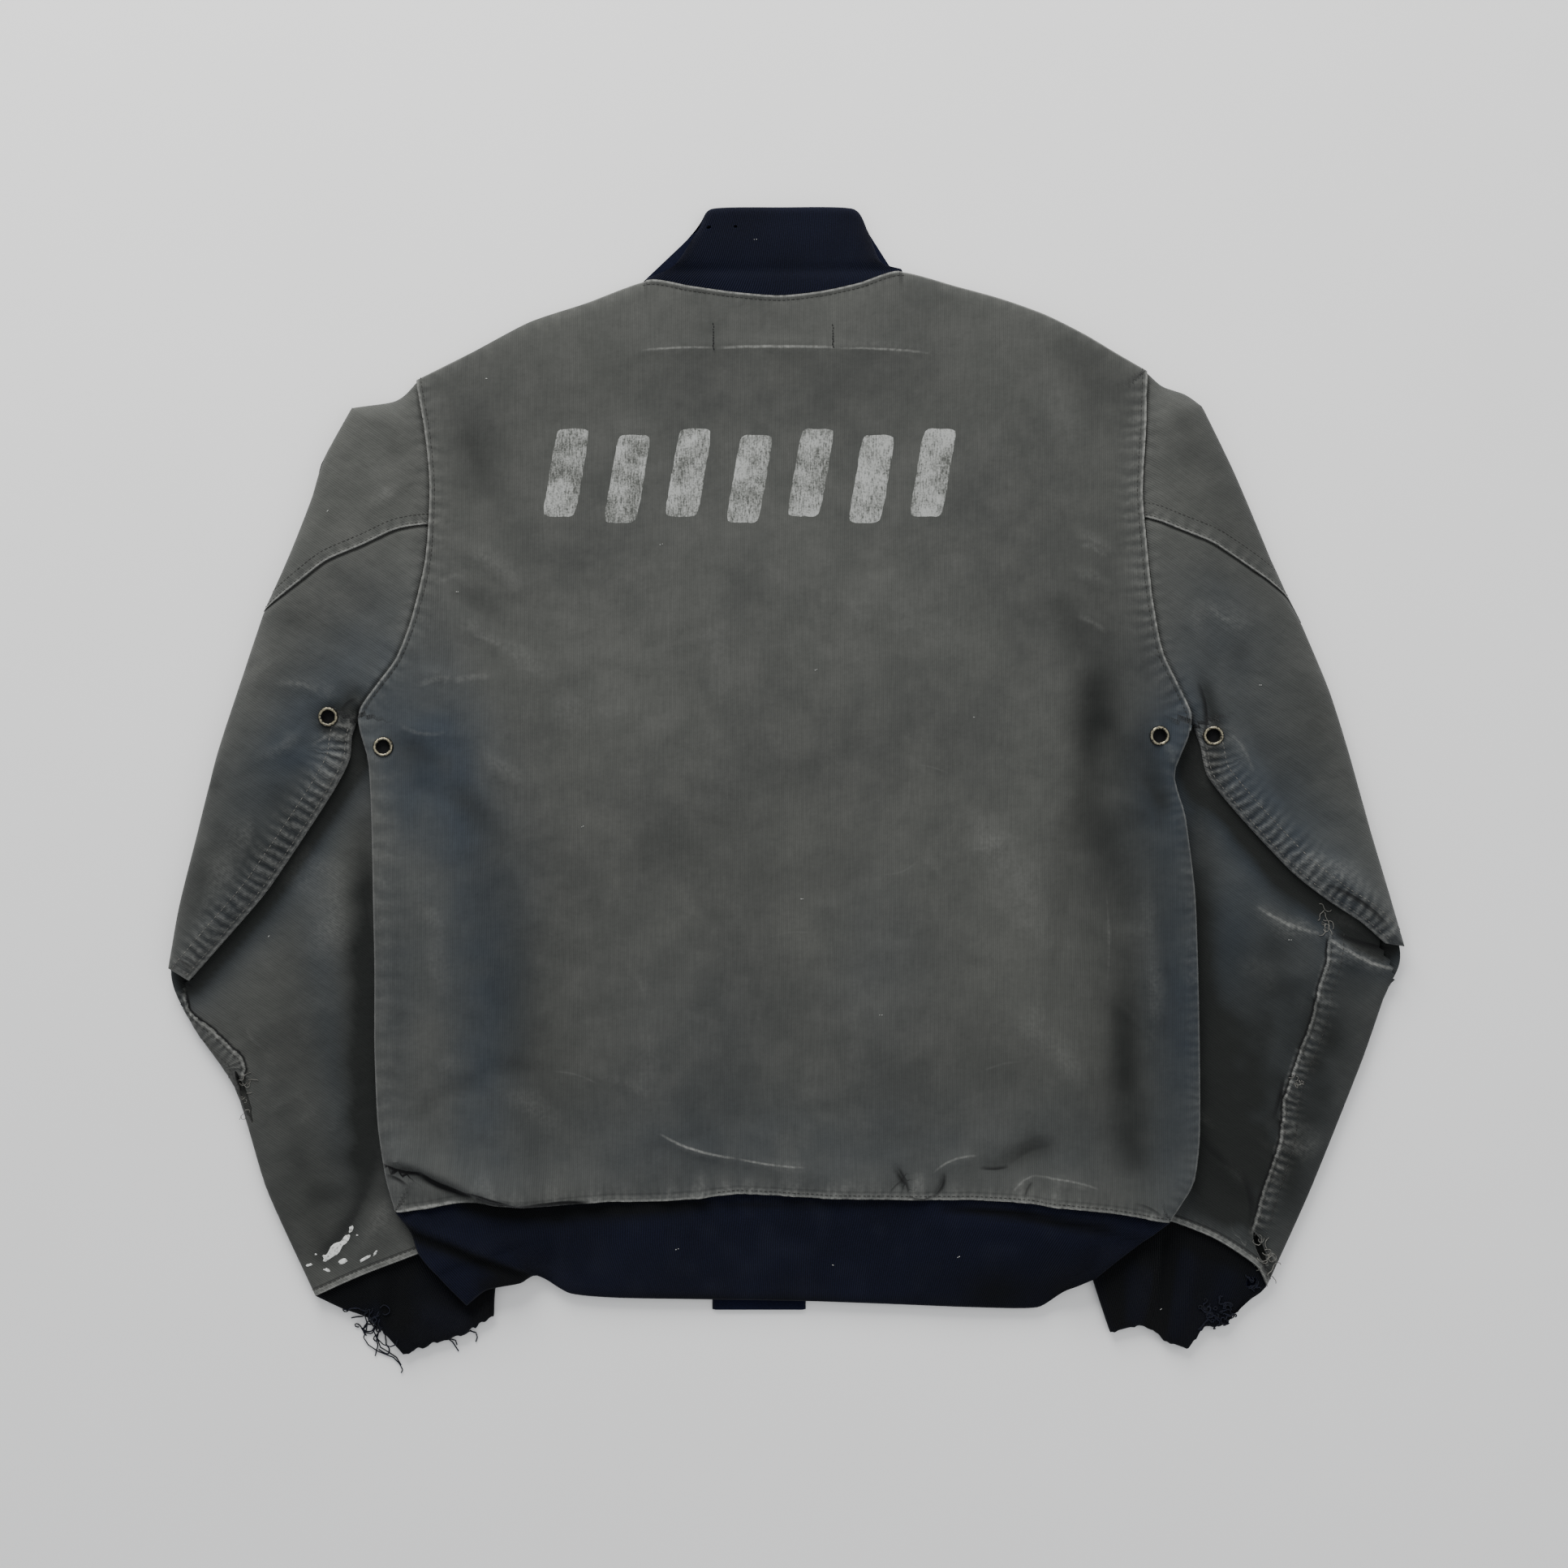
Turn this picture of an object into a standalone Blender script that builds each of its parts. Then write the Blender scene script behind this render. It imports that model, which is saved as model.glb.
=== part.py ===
"""Deck jacket laid on its front with the back up, both sleeves folded under it.

Sizes are in millimetres and become metres when a piece is made. X runs across the jacket,
Y from the hem to the collar, and Z up from the surface that it lies on. Left and right are
as they look from above.
"""
from collections import namedtuple

import bmesh
import bpy
import numpy as np
from mathutils import Matrix
from mathutils.bvhtree import BVHTree

for old in list(bpy.data.objects):
    bpy.data.objects.remove(old)

MM = 0.001

# Thicknesses. The cloth is corded cotton over a wool lining, sewn as one layer.
CLOTH = 5.0
SEAM = 0.3
RIB_KNIT = 3.7
FLAP = 2.5
EDGE = 0.8
SLEEVE_BASE = 2 * CLOTH
SIDE_ROLL = 9.0
ARM_ROLL = 14.0
FOLD_ROLL = 12.0
FREE_ROLL = 8.0
CUFF_ROLL = 5.0
HIDDEN_ROLL = 18.0

# How far from a folded-under sleeve the body cloth comes down to the floor.
DRAPE_START = 9.0
DRAPE_END = 33.0

# Front opening, on the underside.
ZIP_X = -17.0
ZIP_WIDTH = 8.4
FLAP_WIDTH = 60.0
NECK_DROP = 40.0
NECK_HALF = 86.0

RIB_PITCH = 3.0
RIB_HEIGHT = 0.6
RIB_STEP = 4
CUFF_WIDTH = 100.0
COLLAR_WIDTH = 130.0
FINE = (0.0, 3.5, 12.0)
SIDE_CELL = 20.0
MIDDLE_CELL = 38.0
SIDE_ZONE = 132.0

At = namedtuple("At", "x y")
Across = namedtuple("Across", "left_x left_y right_x right_y")
Arm = namedtuple("Arm", "fold_x fold_y inner_x inner_y")
Fold = namedtuple("Fold", "x1 y1 x2 y2 width height")
Eyelet = namedtuple("Eyelet", "name panel x y")
Rip = namedtuple("Rip", "panel x y long wide turn")

# One row for each section across the body, from the shoulder points to the hem.
BODY = [
    Across(-236, 256, 231, 262),
    Across(-230, 222, 229, 222),
    Across(-227, 186, 227, 183),
    Across(-229, 140, 229, 151),
    Across(-236, 104, 232, 116),
    Across(-247, 76, 239, 80),
    Across(-271, 42, 258, 38),
    Across(-265, 12, 247, 4),
    Across(-263, -22, 254, -24),
    Across(-262, -72, 260, -72),
    Across(-261, -120, 262, -123),
    Across(-261, -170, 263, -175),
    Across(-259, -218, 263, -226),
    Across(-254, -252, 259, -256),
    Across(-248, -274, 244, -281),
]

# Shoulder and neck line, left to right.
SHOULDER = [
    At(-236, 256), At(-200, 274), At(-164, 293), At(-128, 305), At(-89, 319), At(-61, 315),
    At(-32, 311), At(-3, 309), At(24, 312), At(47, 317), At(74, 325), At(109, 316),
    At(138, 308), At(166, 298), At(192, 285), At(212, 273), At(231, 262),
]

HEM = [
    At(-248, -274), At(-226, -271), At(-203, -267), At(-179, -270), At(-148, -271),
    At(-117, -269), At(-87, -269), At(-56, -267), At(-32, -264), At(-4, -265), At(27, -267),
    At(86, -268), At(119, -268), At(171, -271), At(212, -275), At(244, -281),
]

BAND_EDGE = [
    At(-203, -334), At(-190, -324), At(-169, -320), At(-159, -316), At(-138, -328),
    At(-107, -331), At(-48, -332), At(11, -333), At(68, -335), At(119, -337),
    At(161, -337), At(179, -325), At(197, -317),
]
BAND_LEFT = [At(-248, -274), At(-238, -287), At(-233, -301), At(-218, -319), At(-203, -334)]
BAND_RIGHT = [At(244, -281), At(228, -293), At(212, -305), At(197, -317)]

COLLAR_TOP = [At(-55, 353), At(-47, 365), At(-3, 366), At(43, 365), At(53, 350)]
COLLAR_LEFT = [At(-55, 353), At(-71, 329), At(-90, 320)]
COLLAR_RIGHT = [At(53, 350), At(61, 331), At(76, 326)]

# Sleeves: the cap at the shoulder, the outer fold from the cap to the seam across the back
# of the sleeve and on to the elbow, that seam, and the underarm edge from armpit to elbow.
ARM_CAP = {
    "left": [At(-276, 237), At(-252, 242), At(-243, 248), At(-236, 256)],
    "right": [At(265, 238), At(255, 247), At(241, 253), At(231, 262)],
}
ARM_FOLD_UPPER = {
    "left": [At(-276, 237), At(-294, 204), At(-302, 178), At(-317, 140), At(-332, 107)],
    "right": [At(265, 238), At(284, 199), At(299, 164), At(314, 128), At(328, 100)],
}
ARM_FOLD_LOWER = {
    "left": [
        At(-332, 107), At(-346, 65), At(-362, 16), At(-375, -36), At(-386, -80), At(-393, -120),
    ],
    "right": [
        At(328, 100), At(346, 57), At(358, 19), At(372, -31), At(383, -68), At(394, -106),
    ],
}
ARM_SEAM = {
    "left": [At(-332, 107), At(-308, 125), At(-290, 139), At(-267, 149), At(-248, 158), At(-228, 163)],
    "right": [At(328, 100), At(318, 116), At(300, 130), At(272, 149), At(256, 156), At(228, 167)],
}
ARM_UNDER = {
    "left": [
        At(-271, 42), At(-276, 28), At(-278, 12), At(-291, -12), At(-329, -69),
        At(-357, -102), At(-380, -128),
    ],
    "right": [
        At(258, 38), At(264, 22), At(269, 2), At(290, -24), At(322, -58),
        At(346, -77), At(366, -90), At(382, -104),
    ],
}

# Forearms, folded under: one row for each section, from the shoulder to the cuff seam.
FOREARM = {
    "left": [
        Arm(-280, 225, -262, 222), Arm(-317, 140, -256, 165), Arm(-346, 65, -244, 98),
        Arm(-375, -36, -231, 31), Arm(-393, -122, -217, -50), Arm(-379, -158, -210, -97),
        Arm(-352, -198, -201, -145), Arm(-332, -262, -190, -200), Arm(-301, -330, -173, -280),
    ],
    "right": [
        Arm(268, 225, 252, 222), Arm(303, 155, 249, 165), Arm(346, 57, 240, 98),
        Arm(370, -31, 230, 31), Arm(393, -110, 218, -50), Arm(383, -139, 210, -97),
        Arm(368, -182, 204, -136), Arm(336, -262, 196, -190), Arm(308, -324, 184, -266),
    ],
}
SLEEVE_HEM = {
    "left": [At(-301, -330), At(-272, -317), At(-233, -302), At(-202, -290), At(-173, -280)],
    "right": [At(308, -324), At(300, -310), At(274, -293), At(243, -281), At(184, -266)],
}
FOLD_ROWS = 5
HIDDEN_ROWS = 6

# Cuffs, from the sleeve hem down: outer side, worn lower edge, inner side.
CUFF = {
    "left": {
        "outer": [At(-301, -330), At(-284, -338), At(-266, -345), At(-245, -367)],
        "inner": [At(-173, -280), At(-180, -305), At(-186, -325), At(-187, -343)],
        "edge": [At(-245, -367), At(-228, -361), At(-206, -354), At(-187, -343)],
    },
    "right": {
        "outer": [At(308, -324), At(304, -328), At(298, -332), At(290, -339)],
        "inner": [At(184, -266), At(190, -295), At(197, -320), At(208, -354)],
        "edge": [
            At(290, -339), At(279, -350), At(269, -348), At(258, -362), At(243, -359),
            At(233, -351), At(222, -350), At(208, -354),
        ],
    },
}

# Largest folds and creases, as ridges above the cloth or troughs in it.
FOLDS = [
    Fold(-250, -248, -196, -259, 15, 5.0),
    Fold(-196, -259, -112, -262, 13, 4.0),
    Fold(186, -10, 184, -250, 16, -2.4),
    Fold(-77, -228, 9, -246, 9, 1.6),
    Fold(95, -250, 120, -238, 8, 1.6),
    Fold(136, -246, 171, -230, 9, -1.8),
    Fold(-20, -252, 80, -256, 10, 1.4),
    Fold(190, -262, 236, -268, 9, 1.8),
    Fold(-90, 275, 90, 275, 8, 0.9),
    Fold(-266, 60, -236, 0, 12, -2.0),
    Fold(-250, -30, -248, -190, 9, 1.5),
    Fold(250, -40, 251, -210, 9, 1.5),
    Fold(258, 60, 226, 10, 12, -1.8),
    Fold(-300, 150, -345, 0, 16, 1.8),
    Fold(-262, 110, -330, -40, 14, -2.0),
    Fold(-282, 30, -372, -104, 10, 1.8),
    Fold(296, 130, 340, 0, 16, 1.8),
    Fold(262, 100, 330, -30, 14, -2.0),
    Fold(280, 14, 368, -80, 10, 1.6),
    Fold(-236, 240, -236, 60, 8, 1.2),
    Fold(236, 240, 240, 70, 8, 1.2),
]

EYELETS = [
    Eyelet("eyelet_body_left", "back", -255, 21),
    Eyelet("eyelet_sleeve_left", "sleeve_left_back_lower", -290, 40),
    Eyelet("eyelet_body_right", "back", 237, 28),
    Eyelet("eyelet_sleeve_right", "sleeve_right_back_lower", 271, 28),
]
EYELET_RADIUS = 6.4
EYELET_HOLE = 4.0
EYELET_HEIGHT = 1.6

# Rips and holes wider than 4 mm, each through one wall: size along and across, and its turn.
RIPS = [
    Rip("sleeve_left_front", -345.5, -203, 34, 5.5, -73),
    Rip("sleeve_right_front", 303, -299, 22, 5.0, -68),
    Rip("cuff_right", 298, -321, 7.0, 6.0, 30),
]

CLOTH_GREY = (0.071, 0.071, 0.064)
KNIT_NAVY = (0.008, 0.009, 0.017)
BRASS = (0.42, 0.30, 0.11)


def smooth(points, values):
    """Points on a smooth curve through a table's rows, at the given row numbers."""
    p = np.asarray(points, float)
    p = np.vstack([2 * p[0] - p[1], p, 2 * p[-1] - p[-2]])
    out = []
    for v in values:
        i = min(int(v), len(points) - 2)
        f = v - i
        a, b, c, d = p[i:i + 4]
        tight = 0.35
        m1, m2 = tight * (c - a), tight * (d - b)
        out.append((2 * f ** 3 - 3 * f ** 2 + 1) * b + (f ** 3 - 2 * f ** 2 + f) * m1
                   + (3 * f ** 2 - 2 * f ** 3) * c + (f ** 3 - f ** 2) * m2)
    return np.array(out)


def along(points, shares):
    """Points on a table's smooth curve, at shares of its length."""
    dense_at = np.linspace(0, len(points) - 1, 40 * (len(points) - 1) + 1)
    dense = smooth([tuple(q) for q in points], dense_at)
    run = np.concatenate([[0], np.cumsum(np.linalg.norm(np.diff(dense, axis=0), axis=1))])
    want = np.asarray(shares) * run[-1]
    return np.stack([np.interp(want, run, dense[:, k]) for k in range(2)], 1)


def shares(length, cells, near_start=True, near_end=True, fine=FINE):
    """Shares of a length that lie close together next to a rolled edge."""
    first = fine[-1] / length if near_start else 0.0
    last = 1 - fine[-1] / length if near_end else 1.0
    middle = list(np.linspace(first, last, cells + 1))
    start = [f / length for f in fine[:-1]] if near_start else []
    end = [1 - f / length for f in fine[:-1]][::-1] if near_end else []
    return np.array(start + middle + end)


def patch(left, right, top, bottom):
    """Fills four edge curves. Rows run from the top to the bottom, columns left to right."""
    def mean_shares(one, two):
        steps = [np.linalg.norm(np.diff(edge, axis=0), axis=1) for edge in (one, two)]
        return np.concatenate([[0], np.cumsum(steps[0] + steps[1])]) / (steps[0].sum() + steps[1].sum())

    t = mean_shares(left, right)[:, None, None]
    s = mean_shares(top, bottom)[None, :, None]
    plan = ((1 - s) * left[:, None] + s * right[:, None] + (1 - t) * top[None] + t * bottom[None]
            - (1 - s) * (1 - t) * left[0] - s * (1 - t) * right[0]
            - (1 - s) * t * left[-1] - s * t * right[-1])
    return plan


def distance(plan, line):
    """Distance in plan from each point to a line of points."""
    p = plan.reshape(-1, 1, 2)
    a, b = line[None, :-1], line[None, 1:]
    ab = b - a
    f = np.clip(((p - a) * ab).sum(2) / np.maximum((ab ** 2).sum(2), 1e-9), 0, 1)
    d = np.linalg.norm(p - a - f[..., None] * ab, axis=2).min(1)
    return d.reshape(plan.shape[:2])


def inside(plan, ring):
    x, y = plan[..., 0].ravel(), plan[..., 1].ravel()
    hit = np.zeros(len(x), bool)
    for (x1, y1), (x2, y2) in zip(ring, np.roll(ring, -1, axis=0)):
        if y1 != y2:
            hit ^= ((y1 > y) != (y2 > y)) & (x < x1 + (y - y1) * (x2 - x1) / (y2 - y1))
    return hit.reshape(plan.shape[:2])


def rolled(d, radius):
    """Share of full height at a distance from a rounded edge."""
    return np.sqrt(np.clip(1 - (1 - np.clip(d / radius, 0, 1)) ** 2, 0, 1))


def fold_height(plan):
    """Sum of the ridges and troughs of the fold table."""
    total = np.zeros(plan.shape[:2])
    for fold in FOLDS:
        a, b = np.array([fold.x1, fold.y1], float), np.array([fold.x2, fold.y2], float)
        ab = b - a
        f = ((plan - a) @ ab) / (ab @ ab)
        nearest = a + np.clip(f, 0, 1)[..., None] * ab
        d = np.linalg.norm(plan - nearest, axis=2)
        total += fold.height * np.exp(-(d / fold.width) ** 2)
    return total


def material(name, colour, rough, metal=0.0):
    made = bpy.data.materials.new(name)
    made.use_nodes = True
    shader = made.node_tree.nodes["Principled BSDF"]
    shader.inputs["Base Color"].default_value = (*colour, 1)
    shader.inputs["Roughness"].default_value = rough
    shader.inputs["Metallic"].default_value = metal
    return made


def solid(name, points, faces, colour, rough=0.9, metal=0.0):
    mesh = bpy.data.meshes.new(name)
    build = bmesh.new()
    corners = [build.verts.new([c * MM for c in p]) for p in points]
    for face in faces:
        build.faces.new([corners[i] for i in face])
    bmesh.ops.triangulate(build, faces=build.faces[:], quad_method="FIXED")
    bmesh.ops.recalc_face_normals(build, faces=build.faces[:])
    if build.calc_volume(signed=True) < 0:
        bmesh.ops.reverse_faces(build, faces=build.faces[:])
    build.to_mesh(mesh)
    build.free()
    piece = bpy.data.objects.new(name, mesh)
    bpy.context.scene.collection.objects.link(piece)
    mesh.materials.append(material(name, colour, rough, metal))
    return piece


def wall(name, plan, low, high, colour, cells=None):
    """One closed wall over the plan's cells, between its lower and upper heights."""
    rows, cols = plan.shape[:2]
    if cells is None:
        cells = np.ones((rows - 1, cols - 1), bool)
    used = np.zeros((rows, cols), bool)
    for i, j in zip(*np.nonzero(cells)):
        used[i:i + 2, j:j + 2] = True
    number = -np.ones((rows, cols), int)
    number[used] = np.arange(used.sum())
    count = int(used.sum())
    points = [(*plan[i, j], high[i, j]) for i, j in zip(*np.nonzero(used))]
    points += [(*plan[i, j], low[i, j]) for i, j in zip(*np.nonzero(used))]
    faces, sides = [], {}
    for i, j in zip(*np.nonzero(cells)):
        ring = [number[i, j], number[i + 1, j], number[i + 1, j + 1], number[i, j + 1]]
        faces.append(tuple(ring))
        faces.append(tuple(ring[k] + count for k in (0, 3, 2, 1)))
        for a, b in zip(ring, ring[1:] + ring[:1]):
            if (b, a) in sides:
                del sides[(b, a)]
            else:
                sides[(a, b)] = True
    faces += [(b, a, a + count, b + count) for a, b in sides]
    return solid(name, points, faces, colour)


# One plan serves the back and the fronts under it. The sleeves meet its sides at the armholes.
# Its rows are at these row numbers of the body table.
down = np.array([0, 0.1, 0.32, 1, 1.75, 2.5, 3.25, 4, 4.75, 5.4, 6, 6.5, 7, 8, 9, 10, 11, 12, 13, 14])
SEAM_ROW, ARMPIT_ROW = 5, 10
BODY_WIDTH = 520.0
zone = list(FINE) + list(np.arange(FINE[-1] + SIDE_CELL, SIDE_ZONE + 1, SIDE_CELL))
middle = np.linspace(zone[-1], BODY_WIDTH - zone[-1], int((BODY_WIDTH - 2 * zone[-1]) / MIDDLE_CELL) + 2)
body_across = np.array(zone + list(middle[1:-1]) + [BODY_WIDTH - z for z in zone[::-1]]) / BODY_WIDTH
body = patch(smooth([(r.left_x, r.left_y) for r in BODY], down),
             smooth([(r.right_x, r.right_y) for r in BODY], down),
             along(SHOULDER, body_across), along(HEM, body_across))


def armhole(side, first, last):
    """Points of the back's edge between two of its rows."""
    return body[first:last + 1, 0 if side == "left" else -1]


def run_shares(points):
    run = np.concatenate([[0], np.cumsum(np.linalg.norm(np.diff(points, axis=0), axis=1))])
    return run / run[-1]


def ribbed_wall(name, plan, low, high, step):
    """A knitted wall: ribs are raised in its outer points, over a plain inside of wider cells."""
    rows, cols = plan.shape[:2]
    wide = cols // step + 1
    points = [(*plan[i, j], high[i, j]) for i in range(rows) for j in range(cols)]
    points += [(*plan[i, j * step], low[i, j * step]) for i in range(rows) for j in range(wide)]

    def outer(i, j):
        return i * cols + j

    def plain(i, j):
        return rows * cols + i * wide + j

    faces = []
    for i in range(rows - 1):
        for j in range(cols - 1):
            faces.append((outer(i, j), outer(i + 1, j), outer(i + 1, j + 1), outer(i, j + 1)))
        for j in range(wide - 1):
            faces.append((plain(i, j), plain(i, j + 1), plain(i + 1, j + 1), plain(i + 1, j)))
        faces.append((outer(i, 0), plain(i, 0), plain(i + 1, 0), outer(i + 1, 0)))
        faces.append((outer(i, cols - 1), outer(i + 1, cols - 1), plain(i + 1, wide - 1), plain(i, wide - 1)))
    for i, flip in ((0, False), (rows - 1, True)):
        for j in range(wide - 1):
            a, b = plain(i, j), plain(i, j + 1)
            tops = [outer(i, j * step + k) for k in range(step + 1)]
            half = step // 2
            fans = [(a, tops[k], tops[k + 1]) for k in range(half)] + [(a, tops[half], b)]
            fans += [(b, tops[k], tops[k + 1]) for k in range(half, step)]
            faces += [f[::-1] for f in fans] if flip else fans
    return solid(name, points, faces, KNIT_NAVY)


def ribs(plan):
    """Height taken off every second column, which leaves the ribs raised."""
    return RIB_HEIGHT * (np.arange(plan.shape[1]) % 2)[None, :]


# Sleeves folded under come first, because everything above lies on them.
forearm_plan, forearm_ring, cuff_plan, cuff_ring = {}, {}, {}, {}
for side in ("left", "right"):
    table = FOREARM[side]
    at = np.concatenate([np.linspace(0, FOLD_ROWS - 1, HIDDEN_ROWS + 1),
                         np.linspace(FOLD_ROWS - 1, len(table) - 1, 8)[1:-1],
                         [len(table) - 1.06, len(table) - 1]])
    outer = smooth([(r.fold_x, r.fold_y) for r in table], at)
    inner = smooth([(r.inner_x, r.inner_y) for r in table], at)
    across = shares(130, 4)
    start = outer[0] + across[:, None] * (inner[0] - outer[0])
    forearm_plan[side] = patch(outer, inner, start, along(SLEEVE_HEM[side], across))
    hem = forearm_plan[side][-1]
    forearm_ring[side] = np.vstack([outer, hem[1:-1], inner[::-1]])
    cuff = CUFF[side]
    wide = np.linspace(0, 1, RIB_STEP * int(round(2 * CUFF_WIDTH / RIB_PITCH / RIB_STEP)) + 1)
    down = np.array([0.0, 0.6, 0.93, 1.0])
    gap = np.array([0.0, -2 * SEAM])
    hem_at = wide * (len(hem) - 1)
    hem = np.stack([np.interp(hem_at, np.arange(len(hem)), hem[:, k]) for k in range(2)], 1)
    cuff_plan[side] = patch(along(cuff["outer"], down) + gap, along(cuff["inner"], down) + gap,
                            hem + gap, along(cuff["edge"], wide) + gap)
    cuff_ring[side] = np.vstack([cuff_plan[side][:, 0], cuff_plan[side][-1, 1:-1],
                                 cuff_plan[side][::-1, -1], cuff_plan[side][0, -2:0:-1]])


def ground(plan):
    """Height on which the cloth above lies: the folded sleeves, or the floor."""
    height = np.zeros(plan.shape[:2])
    below = [(forearm_ring[s], SLEEVE_BASE + SEAM) for s in forearm_ring]
    below += [(cuff_ring[s], 2 * RIB_KNIT + 2 * SEAM) for s in cuff_ring]
    for ring, top in below:
        closed = np.vstack([ring, ring[:1]])
        away = np.where(inside(plan, ring), 0, distance(plan, closed))
        f = np.clip((DRAPE_END - away) / (DRAPE_END - DRAPE_START), 0, 1)
        height = np.maximum(height, top * f * f * (3 - 2 * f))
    return height


for side in ("left", "right"):
    plan = forearm_plan[side]
    rows, cols = plan.shape[:2]
    top_cells = np.ones((rows - 1, cols - 1), bool)
    top_cells[:HIDDEN_ROWS + 1, :2] = False
    covered = np.zeros((rows, cols), bool)
    for i, j in zip(*np.nonzero(top_cells)):
        covered[i:i + 2, j:j + 2] = True
    from_outer = distance(plan, plan[:, 0])
    from_inner = np.minimum(distance(plan, plan[:, -1]), distance(plan, plan[0]))
    fold_end = np.clip((HIDDEN_ROWS + 1 - np.arange(rows)) / 2.0, 0, 1)[:, None]
    middle = SLEEVE_BASE * (0.5 + 0.5 * fold_end)
    radius = FREE_ROLL + (FOLD_ROLL - FREE_ROLL) * fold_end
    low = (middle - EDGE) * (1 - rolled(from_outer, radius))
    low = np.maximum(low, (CLOTH - EDGE) * (1 - rolled(from_inner, FREE_ROLL)))
    high = np.where(covered, CLOTH - SEAM / 2, np.maximum(middle, low + EDGE))
    wall(f"sleeve_{side}_base", plan, low, high, CLOTH_GREY)
    round_off = np.minimum(rolled(np.where(fold_end > 0, 99, from_outer), FREE_ROLL),
                           rolled(from_inner, HIDDEN_ROLL))
    round_off = np.minimum(round_off, 0.5 + rolled(distance(plan, plan[-1]), CLOTH))
    high = CLOTH + SEAM / 2 + EDGE + (CLOTH - SEAM / 2 - EDGE) * round_off
    high = np.minimum(high, SLEEVE_BASE)
    wall(f"sleeve_{side}_front", plan, np.full(plan.shape[:2], CLOTH + SEAM / 2), high, CLOTH_GREY, top_cells)

    plan = cuff_plan[side]
    free = np.minimum(np.minimum(distance(plan, plan[:, 0]), distance(plan, plan[:, -1])),
                      distance(plan, plan[-1]))
    round_off = rolled(free, CUFF_ROLL)
    low = (RIB_KNIT - EDGE) * (1 - round_off[:, ::RIB_STEP])
    wall(f"cuff_{side}_under", plan[:, ::RIB_STEP], low, np.full(low.shape, RIB_KNIT), KNIT_NAVY)
    high = RIB_KNIT + SEAM + EDGE + (RIB_KNIT - EDGE - ribs(plan)) * round_off
    ribbed_wall(f"cuff_{side}", plan, np.full(high.shape, RIB_KNIT + SEAM), high, RIB_STEP)

    seam_gap = np.array([SEAM / 2, 0.0])
    across = shares(120, 4)
    cap, seam = along(ARM_CAP[side], across), along(ARM_SEAM[side], across)
    inner = armhole(side, 0, SEAM_ROW)
    cap[-1], seam[-1] = inner[0], inner[-1]
    upper = patch(along(ARM_FOLD_UPPER[side], run_shares(inner)), inner, cap, seam)
    under = along(ARM_UNDER[side], shares(200, 8, False, True))
    inner = np.vstack([armhole(side, SEAM_ROW, ARMPIT_ROW), under[1:]])
    outer = along(ARM_FOLD_LOWER[side], run_shares(inner))
    tip = outer[-1] + across[:, None] * (inner[-1] - outer[-1])
    lower = patch(outer, inner, seam, tip)
    outward = -1 if side == "left" else 1
    upper[..., 0] += outward * SEAM
    lower[..., 0] += outward * SEAM
    upper[..., 1] += SEAM / 2
    lower[..., 1] -= SEAM / 2
    whole = np.concatenate([upper, lower[1:]])
    rows, cols = whole.shape[:2]
    ring = np.vstack([upper[0, ::-1], whole[1:, 0], lower[-1, 1:], lower[ARMPIT_ROW - SEAM_ROW:-1, -1][::-1]])
    rest = ground(whole)
    under_cells = np.zeros((rows - 1, cols - 1), bool)
    under_cells[2:-2, 2:-2] = True
    under_cells[2:ARMPIT_ROW - 1, -2:] = True
    covered = np.zeros((rows, cols), bool)
    for i, j in zip(*np.nonzero(under_cells)):
        covered[i:i + 2, j:j + 2] = True
    wall(f"sleeve_{side}_under", whole, rest, rest + CLOTH, CLOTH_GREY, under_cells)
    split = len(upper)
    for name, plan, inner in ((f"sleeve_{side}_back_upper", upper, covered[:split]),
                              (f"sleeve_{side}_back_lower", lower, covered[split - 1:])):
        base = ground(plan)
        d = distance(plan, ring)
        low = base + np.where(inner, CLOTH + SEAM, SEAM)
        high = base + SEAM + EDGE + (2 * CLOTH - EDGE) * rolled(d, ARM_ROLL)
        high = np.maximum(high + fold_height(plan) * rolled(d, ARM_ROLL), low + EDGE)
        wall(name, plan, low, high, CLOTH_GREY)

# Body: the back, then the fronts under it.
rest = ground(body)
sides = np.minimum(distance(body, body[ARMPIT_ROW:, 0]), distance(body, body[ARMPIT_ROW:, -1]))
neck_left = int(np.argmin(np.abs(body[0, :, 0] - COLLAR_LEFT[-1].x)))
neck_right = int(np.argmin(np.abs(body[0, :, 0] - COLLAR_RIGHT[-1].x)))
shoulders = np.minimum(distance(body, body[0, :neck_left + 1]), distance(body, body[0, neck_right:]))
free = np.minimum(sides, shoulders)
arms = np.minimum(distance(body, body[:ARMPIT_ROW + 1, 0]), distance(body, body[:ARMPIT_ROW + 1, -1]))
low = rest + CLOTH + SEAM
high = low + EDGE + (CLOTH - EDGE) * rolled(free, SIDE_ROLL)
high = high + fold_height(body) * rolled(np.minimum(free, arms + 4), SIDE_ROLL)
wall("back", body, low, np.maximum(high, low + EDGE), CLOTH_GREY)

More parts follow.
